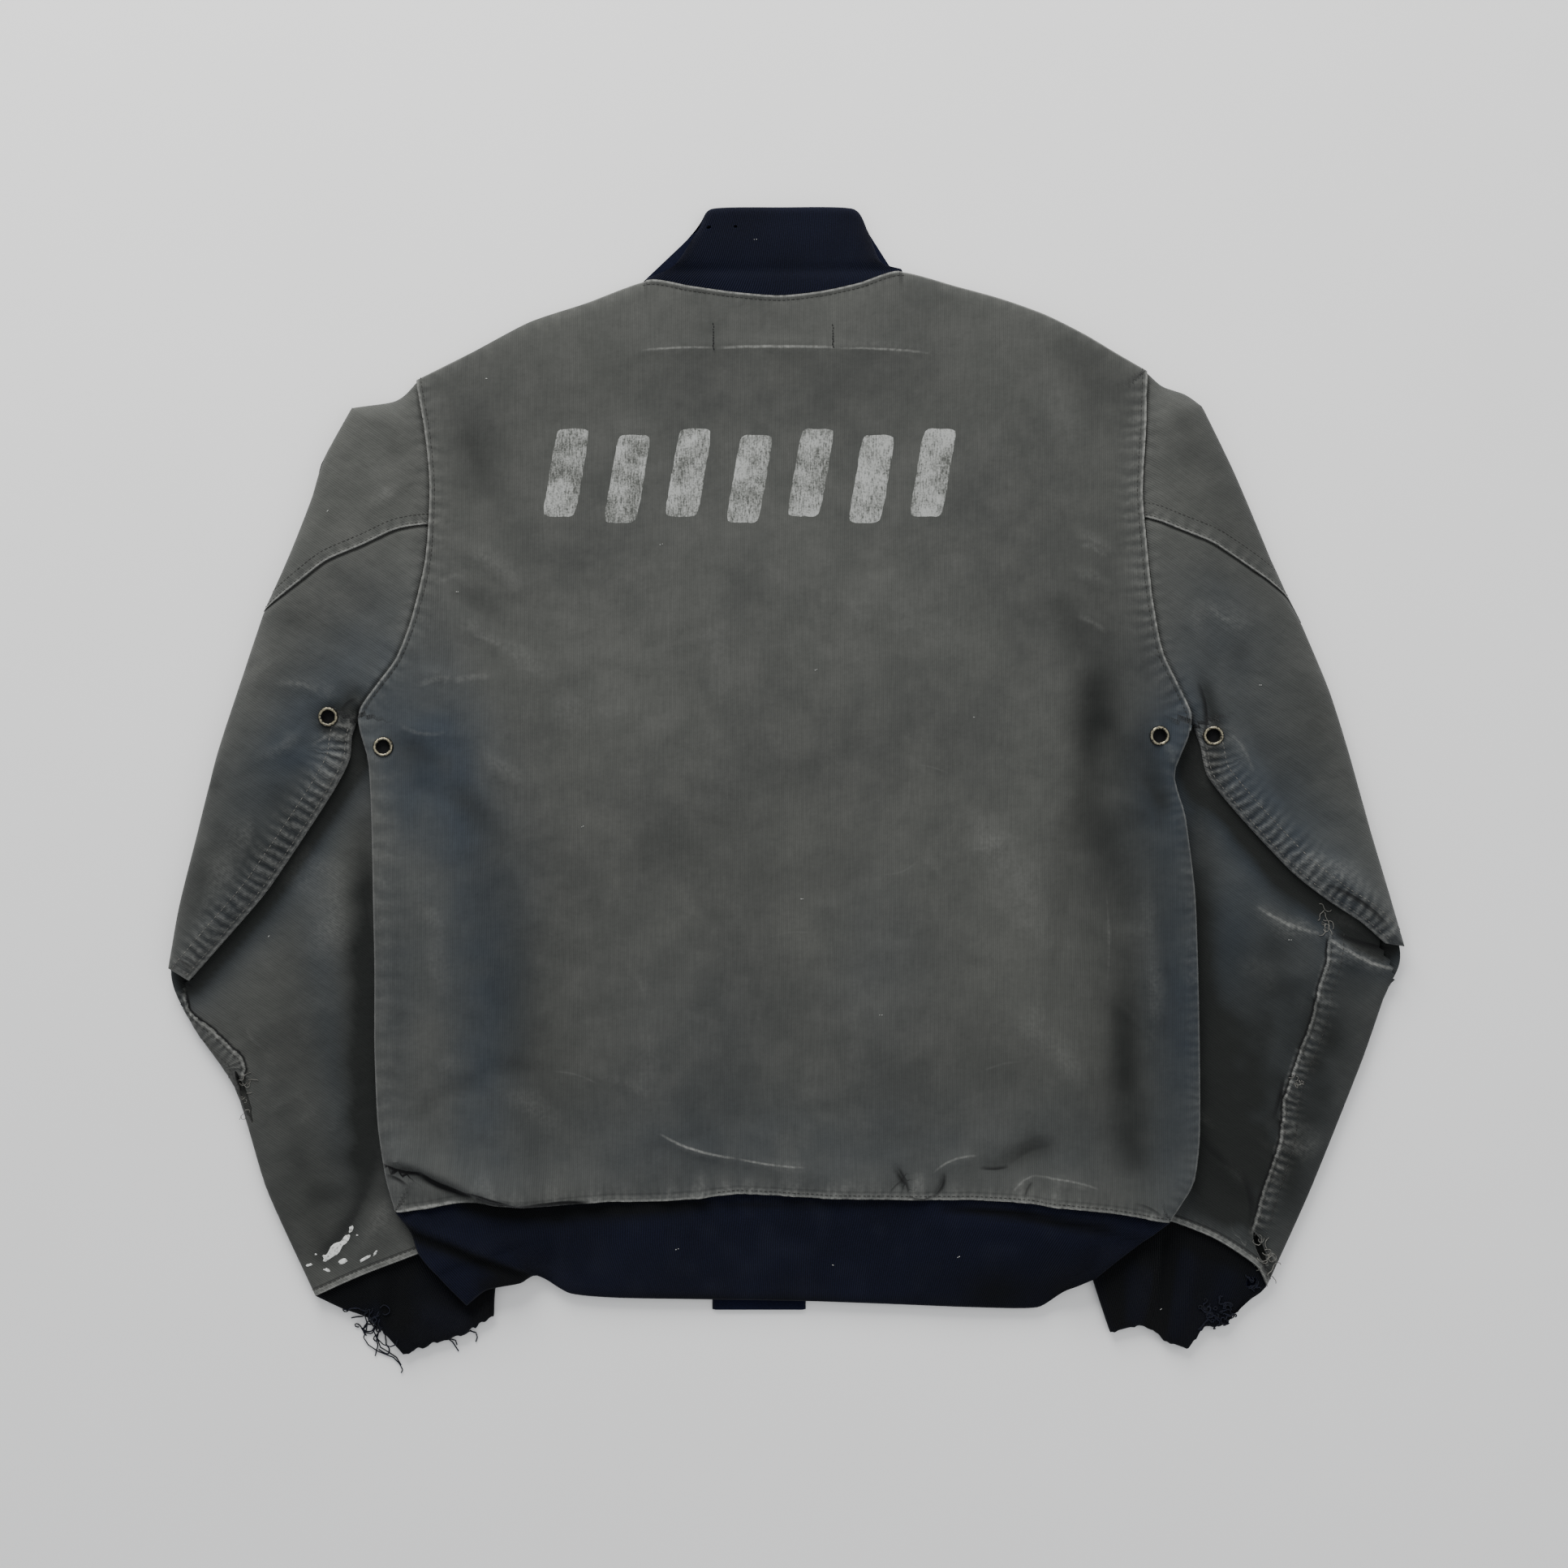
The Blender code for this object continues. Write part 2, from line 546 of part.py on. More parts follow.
front = body.copy()
row_share = np.clip(1 - (front[:1, :, 1] - front[..., 1]) / 120, 0, 1)
bow = np.clip(1 - (front[:1, :, 0] / NECK_HALF) ** 2, 0, 1)
front[..., 1] -= NECK_DROP * bow * row_share
front_low = rest + (CLOTH - EDGE) * (1 - rolled(free, SIDE_ROLL))
over_flap = np.abs(body[..., 0] - ZIP_X) < FLAP_WIDTH / 2 + 26
front_low = np.where(over_flap, np.maximum(front_low, FLAP + SEAM), front_low)
column = int(np.argmin(np.abs(body[-1, :, 0] - ZIP_X)))
for name, first, last, edge_column, edge_x in (
        ("front_left", 0, column, column, ZIP_X - ZIP_WIDTH / 2 - SEAM),
        ("front_right", column, body.shape[1] - 1, column, ZIP_X + ZIP_WIDTH / 2 + SEAM)):
    plan = front.copy()
    plan[:, edge_column, 0] = edge_x
    take = slice(first, last + 1)
    wall(name, plan[:, take], front_low[:, take], (rest + CLOTH)[:, take], CLOTH_GREY)

# Waistband, with its ribs raised on the outer face.
hem_line, band_line = body[-1], along(BAND_EDGE, body_across)
widths = np.linalg.norm(np.diff(hem_line, axis=0), axis=1)
fine_at = [0.0]
for j, wide in enumerate(widths):
    parts = max(RIB_STEP, RIB_STEP * int(round(2 * wide / RIB_PITCH / RIB_STEP)))
    fine_at += list(j + (np.arange(parts) + 1) / parts)
column_numbers = np.arange(len(hem_line))
hem_line = np.stack([np.interp(fine_at, column_numbers, hem_line[:, k]) for k in range(2)], 1)
band_line = np.stack([np.interp(fine_at, column_numbers, band_line[:, k]) for k in range(2)], 1)
down = np.array([0.0, 0.45, 0.94, 1.0])
gap = np.array([0.0, -2 * SEAM])
band = patch(along(BAND_LEFT, down) + gap, along(BAND_RIGHT, down) + gap, hem_line + gap, band_line + gap)
free = np.minimum(np.minimum(distance(band, band[:, 0]), distance(band, band[:, -1])),
                  distance(band, band[-1]))
rest = ground(band)
low = rest + RIB_KNIT + 1.0
high = low + EDGE + (RIB_KNIT - EDGE - ribs(band)) * rolled(free, CUFF_ROLL)
ribbed_wall("waistband_back", band, low, high, RIB_STEP)
band, rest, free = band[:, ::RIB_STEP], rest[:, ::RIB_STEP], free[:, ::RIB_STEP]
low = rest + (RIB_KNIT - EDGE) * (1 - rolled(free, CUFF_ROLL))
over_flap = np.abs(band[..., 0] - ZIP_X) < FLAP_WIDTH / 2 + 8
low = np.where(over_flap, np.maximum(low, FLAP + SEAM), low)
high = np.maximum(rest + RIB_KNIT, low + EDGE)
middle = int(np.argmin(np.abs(band[-1, :, 0] - ZIP_X)))
for name, take, edge_x in (
        ("waistband_front_left", slice(0, middle + 1), ZIP_X - ZIP_WIDTH / 2 - SEAM),
        ("waistband_front_right", slice(middle, None), ZIP_X + ZIP_WIDTH / 2 + SEAM)):
    plan = band.copy()
    plan[:, middle, 0] = edge_x
    if "left" in name:
        plan[:, middle - 1, 0] = np.minimum(plan[:, middle - 1, 0], edge_x - 2)
    else:
        plan[:, middle + 1, 0] = np.maximum(plan[:, middle + 1, 0], edge_x + 2)
    wall(name, plan[:, take], low[:, take], high[:, take], KNIT_NAVY)

# Collar: its back half shows, and the two front ends lie under it.
wide = np.linspace(0, 1, RIB_STEP * int(round(2 * COLLAR_WIDTH / RIB_PITCH / RIB_STEP)) + 1)
down = np.array([0.0, 0.1, 0.62, 0.72, 1.0])
gap = np.array([0.0, 2 * SEAM])
foot_x = body[0, neck_left, 0] + wide * (body[0, neck_right, 0] - body[0, neck_left, 0])
foot = np.stack([foot_x, np.interp(foot_x, body[0, :, 0], body[0, :, 1])], 1)
left, right = along(COLLAR_LEFT, down), along(COLLAR_RIGHT, down)
left[-1], right[-1] = foot[0], foot[-1]
collar = patch(left + gap, right + gap, along(COLLAR_TOP, wide) + gap, foot + gap)
free = np.minimum(np.minimum(distance(collar, collar[:, 0]), distance(collar, collar[:, -1])),
                  distance(collar, collar[0]))
crease = np.exp(-((collar[..., 1] - 326) / 3.5) ** 2)
low = np.full(collar.shape[:2], RIB_KNIT + 1.0 + SEAM)
high = low + EDGE + (RIB_KNIT + 0.6 - EDGE - ribs(collar) - 1.4 * crease) * rolled(free, CUFF_ROLL)
ribbed_wall("collar", collar, low, high, RIB_STEP)
for name, take in (("collar_front_left", slice(neck_left, column + 1)),
                   ("collar_front_right", slice(column, neck_right + 1))):
    foot = front[0, take] + [0.0, SEAM]
    foot[-1 if "left" in name else 0, 0] = ZIP_X + (-SEAM if "left" in name else SEAM)
    share = (foot[:, 0] - body[0, neck_left, 0]) / (body[0, neck_right, 0] - body[0, neck_left, 0])
    top = along(COLLAR_TOP, share)
    down = np.array([0.0, 0.08, 0.25, 0.6, 1.0])[:, None, None]
    plan = (1 - down) * top[None] + down * foot[None] + gap
    rim = distance(plan, plan[0])
    low = (RIB_KNIT - EDGE) * (1 - rolled(rim, CUFF_ROLL))
    wall(name, plan, low, np.full(low.shape, RIB_KNIT + 0.8), KNIT_NAVY)

# Front closing, under the fronts.
flap_x = ZIP_X + np.array([-0.5, -0.46, -0.3, 0.0, 0.3, 0.46, 0.5]) * FLAP_WIDTH
for name, top_y, foot_y, colour in (("wind_flap", 258.0, -262.0, CLOTH_GREY),
                                    ("wind_flap_rib", -262.6, -340.0, KNIT_NAVY)):
    y = np.array([top_y, top_y - 2.5, (top_y + foot_y) / 2, foot_y + 2.5, foot_y])
    plan = np.stack(np.meshgrid(flap_x, y), 2)
    rim = np.minimum(distance(plan, plan[:, 0]), distance(plan, plan[:, -1]))
    high = EDGE + (FLAP - EDGE) * rolled(rim, 2.5)
    wall(name, plan, np.zeros(high.shape), high, colour)
zip_x = ZIP_X + np.array([-0.5, -0.22, -0.2, 0.2, 0.22, 0.5]) * ZIP_WIDTH
plan = np.stack(np.meshgrid(zip_x, np.linspace(262.0, -325.0, 13)), 2)
high = np.full(plan.shape[:2], FLAP + SEAM + 0.8)
high[:, 2:4] = FLAP + SEAM + 1.5
wall("zip", plan, np.full(high.shape, FLAP + SEAM), high, BRASS)


def cut_hole(piece, x, y, long, wide, turn=0.0, turns=16):
    """Cuts an oval hole through one wall."""
    build = bmesh.new()
    bmesh.ops.create_cone(build, cap_ends=True, segments=turns, radius1=0.5 * MM, radius2=0.5 * MM,
                          depth=0.08)
    bmesh.ops.scale(build, verts=build.verts, vec=(long, wide, 1))
    bmesh.ops.rotate(build, verts=build.verts, matrix=Matrix.Rotation(np.radians(turn), 3, "Z"))
    bmesh.ops.translate(build, verts=build.verts, vec=(x * MM, y * MM, 0.02))
    mesh = bpy.data.meshes.new("hole")
    build.to_mesh(mesh)
    build.free()
    cutter = bpy.data.objects.new("hole", mesh)
    bpy.context.scene.collection.objects.link(cutter)
    step = piece.modifiers.new("hole", "BOOLEAN")
    step.operation, step.solver, step.object = "DIFFERENCE", "EXACT", cutter
    bpy.context.view_layer.update()
    cut = bpy.data.meshes.new_from_object(piece.evaluated_get(bpy.context.evaluated_depsgraph_get()))
    piece.modifiers.remove(step)
    piece.data = cut
    bpy.data.objects.remove(cutter)


def eyelet(row, turns=16):
    """A rolled brass ring, resting on the cloth round its vent hole."""
    panel = bpy.data.objects[row.panel]
    around = np.linspace(0, 2 * np.pi, turns, endpoint=False)
    seat = BVHTree.FromPolygons([v.co[:] for v in panel.data.vertices],
                                [p.vertices[:] for p in panel.data.polygons])
    ring = np.array([[EYELET_RADIUS * np.cos(a), EYELET_RADIUS * np.sin(a)] for a in around])
    hits = [seat.ray_cast(((row.x + x) * MM, (row.y + y) * MM, 0.1), (0, 0, -1))[0].z / MM for x, y in ring]
    plane, *_ = np.linalg.lstsq(np.column_stack([np.ones(turns), ring]), np.array(hits), rcond=None)
    foot, lean_x, lean_y = plane
    foot += np.max(hits - (foot + ring @ plane[1:])) + SEAM
    cut_hole(panel, row.x, row.y, 2 * EYELET_HOLE, 2 * EYELET_HOLE)
    section = [(EYELET_HOLE, 0.0), (EYELET_RADIUS, 0.0), (EYELET_RADIUS - 0.3, 0.7 * EYELET_HEIGHT),
               (0.5 * (EYELET_HOLE + EYELET_RADIUS), EYELET_HEIGHT), (EYELET_HOLE + 0.2, 0.7 * EYELET_HEIGHT)]
    points, faces = [], []
    for a in around:
        for r, z in section:
            x, y = r * np.cos(a), r * np.sin(a)
            points.append((row.x + x, row.y + y, foot + z + lean_x * x + lean_y * y))
    n = len(section)
    for i in range(turns):
        for k in range(n):
            a, b = i * n + k, i * n + (k + 1) % n
            c, d = ((i + 1) % turns) * n + (k + 1) % n, ((i + 1) % turns) * n + k
            faces.append((a, b, c, d))
    solid(row.name, points, faces, BRASS, 0.45, 1.0)


for row in EYELETS:
    eyelet(row)
for row in RIPS:
    cut_hole(bpy.data.objects[row.panel], row.x, row.y, row.long, row.wide, row.turn)
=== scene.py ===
"""Looks of a deck jacket laid on its front, its back up and both sleeves folded under it.

Sizes are in millimetres and become metres when a piece is made. X runs across the jacket,
Y from the hem to the collar, and Z up from the surface that it lies on. Left and right are
as they look from above.
"""
import math
from collections import namedtuple
from functools import partial

import bpy
import numpy as np
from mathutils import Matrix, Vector
from mathutils.bvhtree import BVHTree


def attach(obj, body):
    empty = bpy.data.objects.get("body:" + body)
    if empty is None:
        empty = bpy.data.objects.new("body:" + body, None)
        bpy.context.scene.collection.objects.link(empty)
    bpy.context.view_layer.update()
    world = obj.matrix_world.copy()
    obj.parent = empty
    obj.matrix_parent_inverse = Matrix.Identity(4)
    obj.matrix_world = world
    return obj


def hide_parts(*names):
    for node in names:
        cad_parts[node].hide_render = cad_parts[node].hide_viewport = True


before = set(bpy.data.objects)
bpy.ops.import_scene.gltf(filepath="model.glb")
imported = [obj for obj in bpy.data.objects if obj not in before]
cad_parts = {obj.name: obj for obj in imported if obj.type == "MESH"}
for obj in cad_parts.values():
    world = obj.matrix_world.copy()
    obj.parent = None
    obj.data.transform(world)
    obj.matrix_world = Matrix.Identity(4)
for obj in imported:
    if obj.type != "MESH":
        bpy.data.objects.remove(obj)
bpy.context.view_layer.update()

MM = 0.001

# Thicknesses, gaps and edge rounding of the solids, which the shells repeat.
CLOTH, RIB_KNIT, FLAP = 5.0, 3.7, 2.5
SEAM, EDGE = 0.3, 0.8
SLEEVE_BASE = 2 * CLOTH
SIDE_ROLL, ARM_ROLL, FOLD_ROLL = 9.0, 14.0, 12.0
FREE_ROLL, CUFF_ROLL, HIDDEN_ROLL = 8.0, 5.0, 18.0
DRAPE_START, DRAPE_END = 9.0, 33.0

# Front opening, on the underside.
ZIP_X, ZIP_WIDTH, FLAP_WIDTH = -17.0, 8.4, 60.0
NECK_DROP, NECK_HALF = 40.0, 86.0

# Fine grids: cells of the cloth, and columns to each rib of the knit.
CELL, KNIT_CELL = 2.9, 3.0
FINE_EDGE = (0.0, 0.7, 1.5, 2.4, 3.4, 4.6, 6.0, 8.0, 10.0, 12.5)
RIB_PITCH, RIB_HEIGHT, RIB_COLUMNS = 1.55, 0.55, 4

# Heights clear of the jacket, between which holes are punched and from which it is looked down on.
BELOW_ALL, ABOVE_ALL = -20.0, 60.0

Across = namedtuple("Across", "left_x left_y right_x right_y")
Arm = namedtuple("Arm", "fold_x fold_y inner_x inner_y")
Eyelet = namedtuple("Eyelet", "name panel x y")
Sewn = namedtuple("Sewn", "line side pitch reach ladder edge gap turned", defaults=[0.0])
Crease = namedtuple("Crease", "x1 y1 x2 y2 bow width height")
Spot = namedtuple("Spot", "x y long wide turn strength")
Rip = namedtuple("Rip", "x y long wide turn")


def rows(kind, *values):
    """A table's rows, from plain numbers in the order of their names."""
    return [kind(*row) for row in values]


# One row for each section across the body, from the shoulder points to the hem.
BODY = rows(Across,
    (-236, 256, 231, 262), (-230, 222, 229, 222), (-227, 186, 227, 183), (-229, 140, 229, 151),
    (-236, 104, 232, 116), (-247, 76, 239, 80), (-271, 42, 258, 38), (-265, 12, 247, 4),
    (-263, -22, 254, -24), (-262, -72, 260, -72), (-261, -120, 262, -123), (-261, -170, 263, -175),
    (-259, -218, 263, -226), (-254, -252, 259, -256), (-248, -274, 244, -281))

# Shoulder and neck line, left to right.
SHOULDER = [
    (-236, 256), (-200, 274), (-164, 293), (-128, 305), (-89, 319), (-61, 315), (-32, 311), (-3, 309),
    (24, 312), (47, 317), (74, 325), (109, 316), (138, 308), (166, 298), (192, 285), (212, 273),
    (231, 262)]
HEM = [
    (-248, -274), (-226, -271), (-203, -267), (-179, -270), (-148, -271), (-117, -269), (-87, -269),
    (-56, -267), (-32, -264), (-4, -265), (27, -267), (86, -268), (119, -268), (171, -271), (212, -275),
    (244, -281)]
BAND_EDGE = [
    (-203, -334), (-190, -324), (-169, -320), (-159, -316), (-138, -328), (-107, -331), (-48, -332),
    (11, -333), (68, -335), (119, -337), (161, -337), (179, -325), (197, -317)]
BAND_LEFT = [(-248, -274), (-238, -287), (-233, -301), (-218, -319), (-203, -334)]
BAND_RIGHT = [(244, -281), (228, -293), (212, -305), (197, -317)]
COLLAR_TOP = [(-55, 353), (-47, 365), (-3, 366), (43, 365), (53, 350)]
COLLAR_LEFT = [(-55, 353), (-71, 329), (-90, 320)]
COLLAR_RIGHT = [(53, 350), (61, 331), (76, 326)]

# Sleeves: the cap at the shoulder, the outer fold from the cap to the seam across the back
# of the sleeve and on to the elbow, that seam, and the underarm edge from armpit to elbow.
ARM_CAP = {
    "left": [(-276, 237), (-252, 242), (-243, 248), (-236, 256)],
    "right": [(265, 238), (255, 247), (241, 253), (231, 262)],
}
ARM_FOLD_UPPER = {
    "left": [(-276, 237), (-294, 204), (-302, 178), (-317, 140), (-332, 107)],
    "right": [(265, 238), (284, 199), (299, 164), (314, 128), (328, 100)],
}
ARM_FOLD_LOWER = {
    "left": [(-332, 107), (-346, 65), (-362, 16), (-375, -36), (-386, -80), (-393, -120)],
    "right": [(328, 100), (346, 57), (358, 19), (372, -31), (383, -68), (394, -106)],
}
ARM_SEAM = {
    "left": [(-332, 107), (-308, 125), (-290, 139), (-267, 149), (-248, 158), (-228, 163)],
    "right": [(328, 100), (318, 116), (300, 130), (272, 149), (256, 156), (228, 167)],
}
ARM_UNDER = {
    "left": [(-271, 42), (-276, 28), (-278, 12), (-291, -12), (-329, -69), (-357, -102), (-380, -128)],
    "right": [(258, 38), (264, 22), (269, 2), (290, -24), (322, -58), (346, -77), (366, -90), (382, -104)],
}

# Forearms, folded under: one row for each section, from the shoulder to the cuff seam.
FOREARM = {
    "left": rows(Arm,
        (-280, 225, -262, 222), (-317, 140, -256, 165), (-346, 65, -244, 98), (-375, -36, -231, 31),
        (-393, -122, -217, -50), (-379, -158, -210, -97), (-352, -198, -201, -145),
        (-332, -262, -190, -200), (-301, -330, -173, -280)),
    "right": rows(Arm,
        (268, 225, 252, 222), (303, 155, 249, 165), (346, 57, 240, 98), (370, -31, 230, 31),
        (393, -110, 218, -50), (383, -139, 210, -97), (368, -182, 204, -136), (336, -262, 196, -190),
        (308, -324, 184, -266)),
}
SLEEVE_HEM = {
    "left": [(-301, -330), (-272, -317), (-233, -302), (-202, -290), (-173, -280)],
    "right": [(308, -324), (300, -310), (274, -293), (243, -281), (184, -266)],
}
# Cuffs, from the sleeve hem down: outer side, worn lower edge, inner side.
CUFF = {
    "left": {
        "outer": [(-301, -330), (-284, -338), (-266, -345), (-245, -367)],
        "inner": [(-173, -280), (-180, -305), (-186, -325), (-187, -343)],
        "edge": [(-245, -367), (-228, -361), (-206, -354), (-187, -343)],
    },
    "right": {
        "outer": [(308, -324), (304, -328), (298, -332), (290, -339)],
        "inner": [(184, -266), (190, -295), (197, -320), (208, -354)],
        "edge": [
            (290, -339), (279, -350), (269, -348), (258, -362), (243, -359), (233, -351), (222, -350),
            (208, -354)],
    },
}

COLLAR_CREASE_Y = 326.0
CUFF_WIDTH = 137.0
COLLAR_WIDTH = 166.0

# The base wall of a folded sleeve wraps its outer fold down to here, in rows of its table.
WRAP_START, WRAP_END = 3.3, 4.57

# The front layer's hidden edge narrows over this many rows before the wrap ends.
NARROWS_OVER = 0.45
UNDER_INSET = 11.0

# How far above the seam across a sleeve its second row of stitches runs.
ARM_BAND = {"left": 6.7, "right": 9.3}

# Angle of the grain on the sleeves.
GRAIN = math.radians(55)

# Where the cloth bags over the waistband, and the seams down the forearms.
BAG_LINE = [
    (-256, -242.5), (-240, -244), (-228, -248), (-215, -254), (-200, -261.5), (-188, -266),
    (-178, -268.5), (-160, -270), (-142, -270), (-126, -268)]
BAG_HEIGHT = 5.5
FOREARM_SEAM = {
    "left": [
        (-384, -134), (-381, -148), (-375, -153), (-365, -160), (-356, -169), (-348, -176), (-345, -183),
        (-346, -190), (-349, -198)],
    "right": [
        (347, -98), (345, -117), (340, -132), (337, -149), (333, -162), (327, -176), (322, -191),
        (318, -203), (316, -227), (311, -245), (305, -262), (300, -280), (297, -289)],
}
BACK_CREASES = rows(Crease,
    (-212, 150, -168, 122, 4, 6, 1.2), (-214, 128, -170, 92, -4, 6, -1.0),
    (-214, 108, -150, 62, 5, 8, 1.0), (-206, 96, -182, 84, 2, 5, 0.9), (-232, 66, -205, 62, 3, 5, 1.0),
    (-206, 222, -186, 176, 0, 9, -0.9), (-258, 24, -212, 2, 6, 7, -1.5),
    (-212, 2, -168, -46, -6, 8, -1.0), (-246, 36, -200, 30, -3, 6, 1.1), (-200, 30, -156, -6, -6, 8, 1.0),
    (-238, -4, -190, -26, 6, 9, -1.0), (-232, -60, -196, -150, -10, 12, 0.9),
    (196, 70, 186, -50, 3, 13, -2.4), (216, -108, 222, -252, -4, 12, -2.6),
    (228, -60, 230, -190, 3, 9, 1.1), (202, -60, 203, -158, 1, 2.6, 0.6), (218, 110, 228, 60, 4, 6, -0.9),
    (184, 156, 210, 144, 2, 4, 1.0), (186, 132, 210, 122, 2, 4, 0.8), (184, 106, 208, 94, 2, 4, 1.0),
    (190, 84, 214, 74, 2, 5, 0.7), (200, 230, 212, 236, 0, 7, 0.6), (236, 44, 248, 14, -5, 4, 1.6),
    (228, 20, 238, -34, 5, 6, -1.6), (-77, -228, -31, -241, -3, 2.8, 1.1),
    (-33, -241, 12, -247, -1, 2.6, 0.9), (71, -247, 78, -262, -1, 2.2, -1.6),
    (66, -263, 76, -255, 1, 1.8, -0.9), (101, -252, 95, -264, 2, 2.2, -1.6),
    (87, -264, 86, -250, 0, 4.5, 1.7), (80, -250, 70, -238, 1, 4, 0.9), (-22, -265, -24, -253, 1, 3, 1.3),
    (39, -266, 42, -256, 1, 3, 1.2), (60, -266, 56, -252, 1, 4, 1.0),
    (97, -247, 121, -240, 1.5, 2.4, 1.2), (124, -247, 141, -247, 0, 3, -1.0),
    (141, -247, 171, -232, 2, 5, -1.7), (145, -262, 158, -253, 1, 2.6, 1.0),
    (158, -253, 195, -258, 1, 2.6, 1.0), (157, -256, 152, -266, 0, 1.8, -0.9),
    (-236, -214, -150, -186, 10, 9, -1.0), (-240, -176, -140, -226, 12, 10, 0.9),
    (-252, -251, -232, -256, 2, 2.4, -0.7), (-150, 40, -60, 30, 8, 18, 0.7),
    (-120, -60, 60, -80, 10, 24, -0.7), (40, 120, 150, 60, 8, 20, 0.7),
    (-90, 274.5, 90, 274.5, 4, 3.0, 0.9), (110, -20, 170, -110, 10, 14, 0.8),
    (140, -150, 196, -210, 6, 10, 0.8))
ARM_CREASES = rows(Crease,
    (-260, 236, -246, 196, 3, 6, -0.9), (-268, 210, -252, 176, 4, 7, 0.7),
    (-316, 96, -268, 78, 6, 8, -1.0), (-330, 60, -286, 52, 4, 8, 0.8), (-268, 58, -292, 22, -4, 6, -1.6),
    (-286, 52, -272, 30, 2, 5, 1.4), (-300, 24, -330, -24, 5, 9, -1.3), (-344, -20, -378, -96, 5, 9, 0.9),
    (254, 236, 262, 190, -3, 8, -0.8), (268, 118, 300, 96, -5, 9, 0.7), (262, 66, 274, 28, 4, 5, -1.6),
    (276, 40, 300, -10, 6, 7, 1.1), (290, 30, 322, -30, 6, 8, -1.0), (320, -48, 384, -92, 8, 9, 1.2),
    (344, -66, 380, -86, 3, 5, -1.3))
FOREARM_CREASES = rows(Crease,
    (-264, -257, -300, -309, 4, 8, -1.6), (-250, -262, -286, -312, 4, 7, 1.0),
    (-274, -40, -300, -170, -8, 20, 1.0), (-268, -60, -268, -250, 0, 8, -1.2),
    (-352, -150, -330, -176, -3, 6, -1.0), (261, -232, 297, -278, -5, 8, -1.8),
    (268, -252, 286, -286, -3, 7, -1.3), (276, -232, 300, -262, -4, 6, 0.9),
    (262, -150, 316, -172, 6, 10, -0.9), (300, -80, 342, -98, -3, 6, 1.8),
    (347, -101, 390, -121, -3, 5, 2.2), (352, -96, 388, -106, -3, 3, -2.0),
    (280, -40, 330, -90, 6, 12, -1.5), (330, -200, 352, -206, 2, 9, -0.8),
    (320, -230, 346, -240, 2, 8, 0.7))
CUFF_CREASES = rows(Crease,
    (242, -292, 236, -352, 1, 4.5, -3.0), (228, -296, 222, -348, 2, 7, 1.8),
    (256, -300, 246, -356, 3, 5, 2.0), (284, -312, 262, -352, 2, 8, 0.8),
    (-262, -320, -262, -352, 2, 4, 1.4), (-250, -312, -256, -352, 2, 5, -1.4),
    (-232, -340, -200, -344, -3, 8, 1.4), (-214, -318, -196, -340, -3, 6, -1.2))
CUFF_SHADE = rows(Crease,
    (243, -286, 237, -354, 1, 6.5, 1.0), (210, -290, 240, -300, 0, 12, 0.9),
    (-262, -322, -246, -350, 3, 8, 0.7), (-180, -290, -186, -340, 0, 12, 0.9),
    (-290, -328, -240, -310, 0, 9, 0.8), (196, -276, 300, -312, 6, 8, 0.5),
    (208, -300, 214, -350, 0, 6, 0.6))
BAND_CREASES = rows(Crease,
    (-214, -284, -120, -290, 6, 12, 1.0), (-226, -312, -196, -326, 2, 6, 0.8),
    (98, -274, 204, -286, 2, 3.4, -1.6), (90, -284, 210, -296, 2, 7, 1.1),
    (150, -312, 196, -312, -2, 7, -1.0), (-150, -296, 60, -300, 4, 16, 0.8),
    (-120, -322, 120, -326, 0, 8, -0.5), (-60, -274, 60, -273, 0, 4, -0.7))
BAND_SHADE = rows(Crease,
    (-140, -277, -208, -268, 0, 8, 1.4), (-150, -276, -50, -271, 0, 6, 1.2),
    (100, -274, 206, -287, 2, 3.6, 0.9), (-240, -287, -160, -318, 1, 5.5, 0.0),
    (110, -333, 200, -318, 0, 18, 0.75), (-196, -322, -160, -318, 0, 7, 0.9),
    (-60, -271, 90, -270, 0, 3, 0.6), (-150, -330, 110, -335, 0, 5, 0.5))
COLLAR_CREASES = rows(Crease,
    (-60, 340, 50, 345, 2, 8, 0.5), (-50, 358, -36, 334, 2, 5, 0.4), (48, 352, 40, 330, 2, 5, 0.4))

